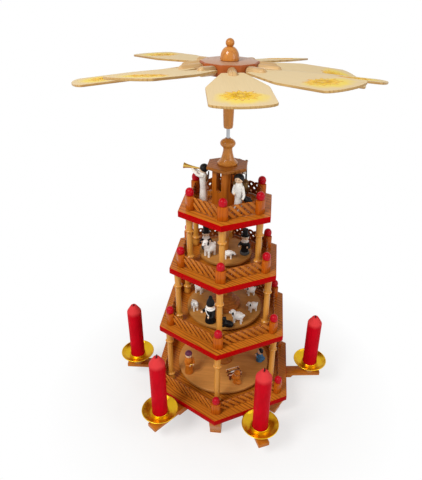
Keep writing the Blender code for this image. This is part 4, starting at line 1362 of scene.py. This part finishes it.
def doll(shape, crown, radius, robe, hair, hands, collar=None, skull=0.82, curls=1.0):
    """A turned and painted figure that faces +X: robe, head, plain face, hair and arms to its hands."""
    head = radius * skull
    middle = crown - head
    neck = middle - head * 0.86
    line = [(0.55 * radius, neck + head * 0.1), (0.72 * radius, neck - 0.3 * head)]
    line += [(0.94 * radius, neck - 0.95 * head), (0.86 * radius, neck * 0.62), (0.8 * radius, neck * 0.5)]
    line += [(0.88 * radius, neck * 0.28), (radius, neck * 0.08), (radius, neck * 0.02), (0.95 * radius, 0)]
    shape.add(turned([(0, neck + head * 0.2), *flowing(line, 4), (0, 0)], 28), robe)
    if collar:
        band = [(0.5, 0.25), (0.74, 0.05), (0.9, -0.3), (0.8, -0.42), (0.5, -0.3)]
        shape.add(turned(closed([(radius * r, neck + head * z) for r, z in band]), 28), collar)
    shape.blob("skin_paint", (0, 0, middle), (head, head, head * 1.04))
    if hair:
        spread = (head * 0.98 * curls, head * 1.06 * curls, head * 0.92 * curls)
        shape.blob(hair, (-head * 0.2, 0, middle + head * 0.24), spread, 0.05)
    for side in (-1, 1):
        eye = (head * 0.93, side * head * 0.34, middle + head * 0.1)
        shape.blob("black_paint", eye, (head * 0.1, head * 0.1, head * 0.13), sides=10)
    nose = (head * 0.97, 0, middle - head * 0.1)
    shape.blob("skin_paint", nose, (head * 0.14, head * 0.12, head * 0.12), sides=10)
    for side, hand in zip((-1, 1), hands):
        start = Vector((0, side * radius * 0.82, neck - head * 0.75))
        elbow = (start + Vector(hand)) / 2 + Vector((0, side * radius * 0.35, -radius * 0.45))
        line = flowing([tuple(start), tuple(elbow), hand], 5)
        width = [radius * (0.36 - 0.1 * k / (len(line) - 1)) for k in range(len(line))]
        shape.rod(robe, line, width)
        shape.blob("skin_paint", hand, (radius * 0.26,) * 3, sides=12)


ANGEL_CROWN, ANGEL_RADIUS = 0.039, 0.0044
ANGEL_MOUTH = ANGEL_CROWN - ANGEL_RADIUS * 0.95


def wings(shape):
    """A pair of small flat wings behind the shoulders."""
    outline = [(0, 0), (5.2, 1.4), (7.6, 5.2), (6.6, 8.4), (4.0, 7.6), (1.6, 5.4)]
    right = mm(*flowing([*outline, outline[0]], 4)[:-1])
    left = [(-x, y) for x, y in reversed(right)]
    behind = shifted(-ANGEL_RADIUS * 0.95, 0, ANGEL_CROWN * 0.56) @ about_z(math.pi / 2) @ STOOD_UP
    for outline in (left, right):
        shape.board("lute_paint", outline, THIN_BOARD, THIN_EASE, behind)


def trumpet(shape):
    bell = flowing([(3.1, 17.0), (2.2, 14.0), (1.5, 9.5), (1.0, 4.0), (0.8, 0.2)], 4)
    start = Vector((0.0034, 0, ANGEL_MOUTH))
    aim = pointing(start, start + Vector((1, 0, 0.12)))
    shape.spun("gold_leaf", [(0, 14.6), (1.8, 15.4), (2.9, 16.9), *bell, (0, 0)], 28, aim)


def lute(shape):
    lean = shifted(-0.0008, 0.0092, 0.0140) @ Matrix.Rotation(math.radians(66), 4, "X")
    shape.blob("black_paint", (0, 0, 0), (0.0030, 0.0034, 0.0056), within=lean)
    shape.rod("black_paint", [(0, 0, 0.004), (0.001, 0.0012, 0.0115)], [0.0009, 0.0007], within=lean)


def bass(shape):
    spot = shifted(0.0034, -0.0070, 0)
    for height, wide, tall in ((0.0060, 0.0046, 0.0056), (0.0130, 0.0036, 0.0046)):
        shape.blob("lute_paint", (0, 0, height), (0.0024, wide, tall), within=spot)
    neck = [(0.0008, 0, 0.0150), (0.0006, 0, 0.0370)]
    shape.rod("black_paint", neck, [0.0010, 0.0007], within=spot)
    shape.blob("lute_paint", (0.0004, 0, 0.0376), (0.0013, 0.0016, 0.0013), within=spot)


class PYRAMID_OT_angels(Operator):
    """Three angels with their instruments on the top plate"""

    bl_idname = "pyramid.angels"
    bl_label = "Angels"

    def execute(self, context):
        mouth = ANGEL_MOUTH
        crown, radius = ANGEL_CROWN, ANGEL_RADIUS
        # The way it faces in degrees, its hands and what it plays
        band = [
            (176, [(0.0098, -0.0016, mouth - 0.0012), (0.0112, 0.0012, mouth - 0.0004)], trumpet),
            (-105, [(0.0048, -0.0028, 0.0205), (0.0036, 0.0056, 0.0160)], lute),
            (66, [(0.0040, -0.0058, 0.0250), (0.0052, 0.0010, 0.0180)], bass),
        ]
        for number, (facing, hands, instrument) in enumerate(band, 1):
            node = f"angel_{number}"
            place = foot_of(node)
            if instrument is trumpet:
                # Its box also holds the trumpet
                place.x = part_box(node)[1].x - radius
            shape = Shape(standing(place, facing))
            doll(shape, crown, radius, "white_paint", "black_paint", hands, skull=0.96, curls=1.12)
            instrument(shape)
            wings(shape)
            shape.keep(f"painted_{node}", "stand", "white_paint", node)
        return {"FINISHED"}


class PYRAMID_OT_townsfolk(Operator):
    """The two men in top hats, the shepherd and the king"""

    bl_idname = "pyramid.townsfolk"
    bl_label = "Townsfolk"

    def execute(self, context):
        for number, facing, drop in ((1, -80, 2.4), (2, -105, 0.0)):
            shape = Shape(standing(foot_of(f"top_hat_man_{number}"), facing))
            radius, crown = 0.0046, 0.0236 - drop * MM
            base = [(0, 3.6), (4.5, 3.6), (5.0, 3.0), (5.0, 0.4), (4.7, 0), (0, 0)]
            shape.spun("grey_paint", eased(base, 0.5), 32)
            hands = [(0.0046, -0.0046, 0.0105), (0.0048, 0.0044, 0.0112)]
            doll(shape, crown, radius, "black_paint", "white_paint", hands, "white_paint")
            chin = (radius * 0.52, 0, crown - radius * 1.3)
            shape.blob("white_paint", chin, (0.0014, 0.0022, 0.0020), 0.08)
            hat = [(0, 30.0), (3.1, 30.0), (3.3, 29.6), (3.0, 24.0), (3.1, 23.3), (4.8, 22.9), (4.9, 22.5)]
            hat = eased([*hat, (3.0, 22.2), (0, 22.2)], 0.4)
            shape.spun("black_paint", [(r, z - drop) for r, z in hat], 32)
            shape.keep(f"painted_man_{number}", "rotor", "black_paint", f"top_hat_man_{number}")

        shape = Shape(standing(foot_of("shepherd"), -128))
        crown = 0.0268
        hands = [(0.0070, -0.0062, 0.0132), (0.0066, 0.0040, 0.0108)]
        doll(shape, crown, 0.006, "black_paint", "white_paint", hands, "white_paint", 0.7)
        hat = [(0, 34.6), (1.2, 34.2), (2.0, 32.8), (2.5, 30.6), (3.5, 28.6), (4.3, 26.2), (4.6, 24.0)]
        shape.spun("black_paint", flowing([*hat, (4.3, 22.6), (3.4, 22.4), (0, 22.8)], 3), 32)
        shape.blob("white_paint", (0.0015, 0, crown - 0.00675), (0.0039, 0.0043, 0.0025), 0.06)
        sash = flowing([(0.0042, -0.0036, 0.0178), (0.0056, 0.0002, 0.0138), (0.0038, 0.0044, 0.0080)], 6)
        shape.rod("white_paint", sash, [0.0006] * len(sash))
        shape.keep("painted_shepherd", "rotor", "black_paint", "shepherd")

        shape = Shape(standing(foot_of("king"), -50))
        hands = [(0.0062, -0.0022, 0.0160), (0.0062, 0.0022, 0.0160)]
        doll(shape, 0.0318, 0.005, "orange_paint", None, hands)
        turban = [(0, 33.2), (1.9, 33.0), (3.5, 31.8), (4.2, 30.3), (4.0, 29.0), (3.0, 28.6), (0, 29.0)]
        shape.spun("purple_paint", flowing(turban, 4), 32)
        casket = [(0, 2.4), (1.0, 2.3), (1.7, 1.5), (1.7, 0.2), (1.4, 0), (0, 0)]
        shape.spun("gold_leaf", casket, 20, shifted(0.0062, 0, 0.0164))
        shape.keep("painted_king", "rotor", "orange_paint", "king")
        return {"FINISHED"}


def sheep(shape, lift):
    """A lumpy sheep that faces +X, with four legs, dark ears and its head at the given height."""
    grazing = lift < 0.010
    head = Vector((0.0076 if grazing else 0.0060, 0, lift))
    shape.blob("white_paint", (0, 0, 0.0086), (0.0066, 0.0047, 0.0047), 0.13, 28)
    shape.blob("white_paint", (-0.0064, 0, 0.0104), (0.0014, 0.0012, 0.0016), 0.2, 12)
    shape.rod("white_paint", [(0.0036, 0, 0.0098), tuple(head)], [0.0034, 0.0026])
    shape.blob("white_paint", tuple(head), (0.0030, 0.0027, 0.0030), 0.1, 20)
    muzzle = head + Vector((0.0026, 0, -0.0012))
    shape.blob("white_paint", tuple(muzzle), (0.0018, 0.0015, 0.0014), 0, 14)
    for side in (-1, 1):
        ear = head + Vector((-0.0008, side * 0.0028, -0.0006))
        shape.blob("black_paint", tuple(ear), (0.0011, 0.0008, 0.0021), 0, 14)
        eye = head + Vector((0.0024, side * 0.0016, 0.0007))
        shape.blob("black_paint", tuple(eye), (0.0004, 0.0004, 0.0005), 0, 8)
        for reach in (-0.0036, 0.0036):
            hoof = (reach * 1.05, side * 0.0023)
            leg = [(reach, side * 0.0022, 0.0060), (*hoof, 0.0028), (*hoof, 0)]
            shape.rod("white_paint", leg, [0.0014, 0.0011, 0.0012], 12)


class PYRAMID_OT_flock(Operator):
    """Sheep on the middle discs, and the dark dog that lies among them"""

    bl_idname = "pyramid.flock"
    bl_label = "Flock"

    def execute(self, context):
        # On which disc, where in millimetres, facing in degrees, size and the height of its head
        flock = [
            (2, -15.6, -12.6, -128, 1.12, 16.0),
            (2, 4.4, -17.0, 10, 0.72, 7.8),
            (1, -33.0, -14.2, -60, 0.86, 12.8),
            (1, -32.5, 18.5, -20, 0.86, 12.8),
            (1, 18.2, -31.0, 172, 1.0, 12.8),
            (1, 33.4, -8.6, -150, 0.86, 12.8),
            (1, 29.5, 22.5, 200, 0.86, 12.8),
        ]
        for number, (tier, x, y, facing, scale, lift) in enumerate(flock, 1):
            shape = Shape(standing((x * MM, y * MM, DISC_TOPS[tier]), facing, scale))
            sheep(shape, lift * MM)
            shape.keep(f"sheep_{number}", "rotor", "white_paint")
        shape = Shape(standing((8.0 * MM, -40.4 * MM, DISC_TOPS[1]), 165))
        shape.blob("black_paint", (0, 0, 0.0040), (0.0066, 0.0040, 0.0040), 0.06, 24)
        shape.rod("black_paint", [(0.0030, 0, 0.0048), (0.0046, 0, 0.0084)], [0.0030, 0.0024])
        shape.blob("black_paint", (0.0048, 0, 0.0094), (0.0028, 0.0024, 0.0024), 0, 18)
        shape.blob("black_paint", (0.0074, 0, 0.0086), (0.0018, 0.0013, 0.0012), 0, 14)
        for side in (-1, 1):
            ear = (0.0040, side * 0.0023, 0.0092)
            shape.blob("black_paint", ear, (0.0010, 0.0007, 0.0020), 0, 12)
            paw = [(0.0040, side * 0.0026, 0.0016), (0.0086, side * 0.0024, 0.0011)]
            shape.rod("black_paint", paw, [0.0014, 0.0011], 12)
        shape.keep("dog", "rotor", "black_paint")
        return {"FINISHED"}


class PYRAMID_OT_crib(Operator):
    """The manger with its straw and child, and the two figures that kneel by it"""

    bl_idname = "pyramid.crib"
    bl_label = "Crib"

    def execute(self, context):
        shape = Shape(standing(foot_of("manger"), 28))
        plank = [(-0.0080, -0.0030), (0.0080, -0.0030), (0.0080, 0.0030), (-0.0080, 0.0030)]
        for side in (-1, 1):
            lean = Matrix.Rotation(side * math.radians(52), 4, "X")
            spot = shifted(0, -side * 0.0029, 0.0062) @ lean
            shape.board("crib_wood", plank, THIN_BOARD, THIN_EASE, spot)
            # Pale rods along the top edges of the planks: a painted highlight on the dark crib
            highlight_rail = [(-0.0082, side * 0.0049, 0.0087), (0.0082, side * 0.0049, 0.0087)]
            shape.rod("skin_paint", highlight_rail, [0.0006, 0.0006], 10)
        for end in (-0.0066, 0.0066):
            for side in (-1, 1):
                leg = [(end, -side * 0.0040, 0), (end, side * 0.0042, 0.0092)]
                shape.rod("crib_wood", leg, [0.0008, 0.0008], 8)
        shape.blob("straw_paint", (0, 0, 0.0068), (0.0072, 0.0034, 0.0014), 0.25)
        shape.blob("white_paint", (-0.0008, 0, 0.0076), (0.0036, 0.0015, 0.0013))
        shape.blob("skin_paint", (0.0034, 0, 0.0077), (0.0013, 0.0012, 0.0012))
        shape.keep("crib", "rotor", "brown_wood", "manger")
        # Where in millimetres, facing in degrees, and the paint of robe and hair
        kneeling = [
            ("kneeling_elder", 19.8, -38.0, 130, "orange_paint", "orange_paint"),
            ("kneeling_mother", 45.6, 1.1, 200, "blue_paint", "black_paint"),
        ]
        hands = [(0.0050, -0.0012, 0.0092), (0.0050, 0.0012, 0.0092)]
        for name, x, y, facing, robe, hair in kneeling:
            shape = Shape(standing((x * MM, y * MM, DISC_TOPS[0]), facing))
            doll(shape, 0.018, 0.0044, robe, hair, hands)
            shape.blob(robe, (-0.0026, 0, 0.0026), (0.0044, 0.0038, 0.0026))
            shape.keep(name, "rotor", "orange_paint")
        return {"FINISHED"}


FLOOR_RADIUS = 6.0
FLOOR_LEVEL = -0.0002
CAMERA_PLACE = (0.0395, -0.4464, 0.4644)
CAMERA_RIGHT = (0.9949, 0.0987, 0.0190)
CAMERA_UP = (-0.0650, 0.4875, 0.8708)
CAMERA_SHIFT = (-0.0310, -0.0039)
SENSOR_WIDTH = 36
# Where the lamps stand and how wide they are, and what they shine at
KEY_LAMP = ((-0.55, -0.75, 1.15), 0.5)
FILL_LAMP = ((0.9, -0.5, 0.6), 0.7)
LAMP_AIM = (0, 0, 0.2)
WHITE = (1, 1, 1, 1)


def soft_lamp(name, place, size, power):
    data = bpy.data.lights.new(name, "AREA")
    data.shape = "DISK"
    data.size = size
    data.energy = power
    lamp = bpy.data.objects.new(name, data)
    aim = Vector(LAMP_AIM) - Vector(place)
    lamp.matrix_world = Matrix.Translation(place) @ aim.to_track_quat("-Z", "Y").to_matrix().to_4x4()
    bpy.context.scene.collection.objects.link(lamp)


class PYRAMID_OT_stage(Operator):
    """Pale floor, soft light and the camera"""

    bl_idname = "pyramid.stage"
    bl_label = "Stage"

    def execute(self, context):
        stage = settings().stage
        scene = context.scene
        scene.view_settings.view_transform = "Standard"
        rim = [(*polar(FLOOR_RADIUS, angle), FLOOR_LEVEL) for angle in angles_round(stage.floor_sides)]
        ground = Finish("pale_floor", 0.9, shine=0.0)
        where = ground.place(of_piece=False)
        speck = ground.noise(where, 40, 2)
        ground.paint_with(ground.ramp(speck, (0.3, (0.90, 0.90, 0.90)), (0.7, (0.93, 0.93, 0.93))))
        # Where it is looked at it turns white away from the feet, so that only a soft shadow stays there
        far = ground.terms(ground.node("ShaderNodeVectorMath", {0: where}, operation="LENGTH"))[1]
        share = ground.seen() * ground.span(far, 0.07, 0.22, 0.55, 1.0)
        white = ground.out("ShaderNodeEmission", {"Color": WHITE, "Strength": 1.0})
        blend = ground.out("ShaderNodeMixShader", {0: share, 1: ground.terms(ground.shader)[0], 2: white})
        ground.feed(ground.tree.nodes["Material Output"].inputs["Surface"], blend)
        mesh = bpy.data.meshes.new("floor")
        mesh.from_pydata(rim, [], [list(range(len(rim)))])
        mesh.materials.append(ground.material)
        floor = bpy.data.objects.new("floor", mesh)
        scene.collection.objects.link(floor)

        world = bpy.data.worlds.new("white_room")
        world.use_nodes = True
        scene.world = world
        wiring = Wiring(world.node_tree)
        background = world.node_tree.nodes["Background"]
        wiring.feed(background.inputs[0], WHITE)
        wiring.feed(background.inputs[1], wiring.seen() * (1 - stage.ambient) + stage.ambient)

        soft_lamp("key", *KEY_LAMP, stage.key_power)
        soft_lamp("fill", *FILL_LAMP, stage.fill_power)

        lens = bpy.data.cameras.new("camera")
        lens.lens = stage.lens
        lens.sensor_width = SENSOR_WIDTH
        lens.shift_x, lens.shift_y = CAMERA_SHIFT
        lens.clip_start = 0.01
        camera = bpy.data.objects.new("camera", lens)
        right, up = Vector(CAMERA_RIGHT).normalized(), Vector(CAMERA_UP)
        up = (up - right * up.dot(right)).normalized()
        turn = Matrix((right, up, right.cross(up))).transposed().to_4x4()
        camera.matrix_world = Matrix.Translation(CAMERA_PLACE) @ turn
        scene.collection.objects.link(camera)
        scene.camera = camera
        return {"FINISHED"}


OPERATORS = (
    PYRAMID_OT_plates,
    PYRAMID_OT_columns,
    PYRAMID_OT_posts,
    PYRAMID_OT_trellis,
    PYRAMID_OT_feet,
    PYRAMID_OT_lantern,
    PYRAMID_OT_shaft,
    PYRAMID_OT_discs,
    PYRAMID_OT_hub,
    PYRAMID_OT_blades,
    PYRAMID_OT_arms,
    PYRAMID_OT_dishes,
    PYRAMID_OT_candles,
    PYRAMID_OT_angels,
    PYRAMID_OT_townsfolk,
    PYRAMID_OT_flock,
    PYRAMID_OT_crib,
    PYRAMID_OT_stage,
)


class PYRAMID_PT_panel(Panel):
    """Lists the pieces of the pyramid and their settings"""

    bl_idname = "PYRAMID_PT_panel"
    bl_label = "Christmas Pyramid"
    bl_space_type = "VIEW_3D"
    bl_region_type = "UI"
    bl_category = "Pyramid"

    def draw(self, context):
        chosen = context.scene.pyramid
        for part in (chosen.wood, chosen.fence, chosen.wheel, chosen.candle, chosen.stage):
            box = self.layout.box()
            for key in part.__annotations__:
                box.prop(part, key)
        for operator in OPERATORS:
            self.layout.operator(operator.bl_idname)


GROUPS = (WoodSettings, FenceSettings, WheelSettings, CandleSettings, StageSettings, PyramidSettings)


def register():
    for made in (*GROUPS, *OPERATORS, PYRAMID_PT_panel):
        bpy.utils.register_class(made)
    bpy.types.Scene.pyramid = PointerProperty(type=PyramidSettings)


def unregister():
    del bpy.types.Scene.pyramid
    for made in reversed((*GROUPS, *OPERATORS, PYRAMID_PT_panel)):
        bpy.utils.unregister_class(made)


def main():
    register()
    for operator in OPERATORS:
        family, name = operator.bl_idname.split(".")
        getattr(getattr(bpy.ops, family), name)()


if __name__ == "__main__":
    main()
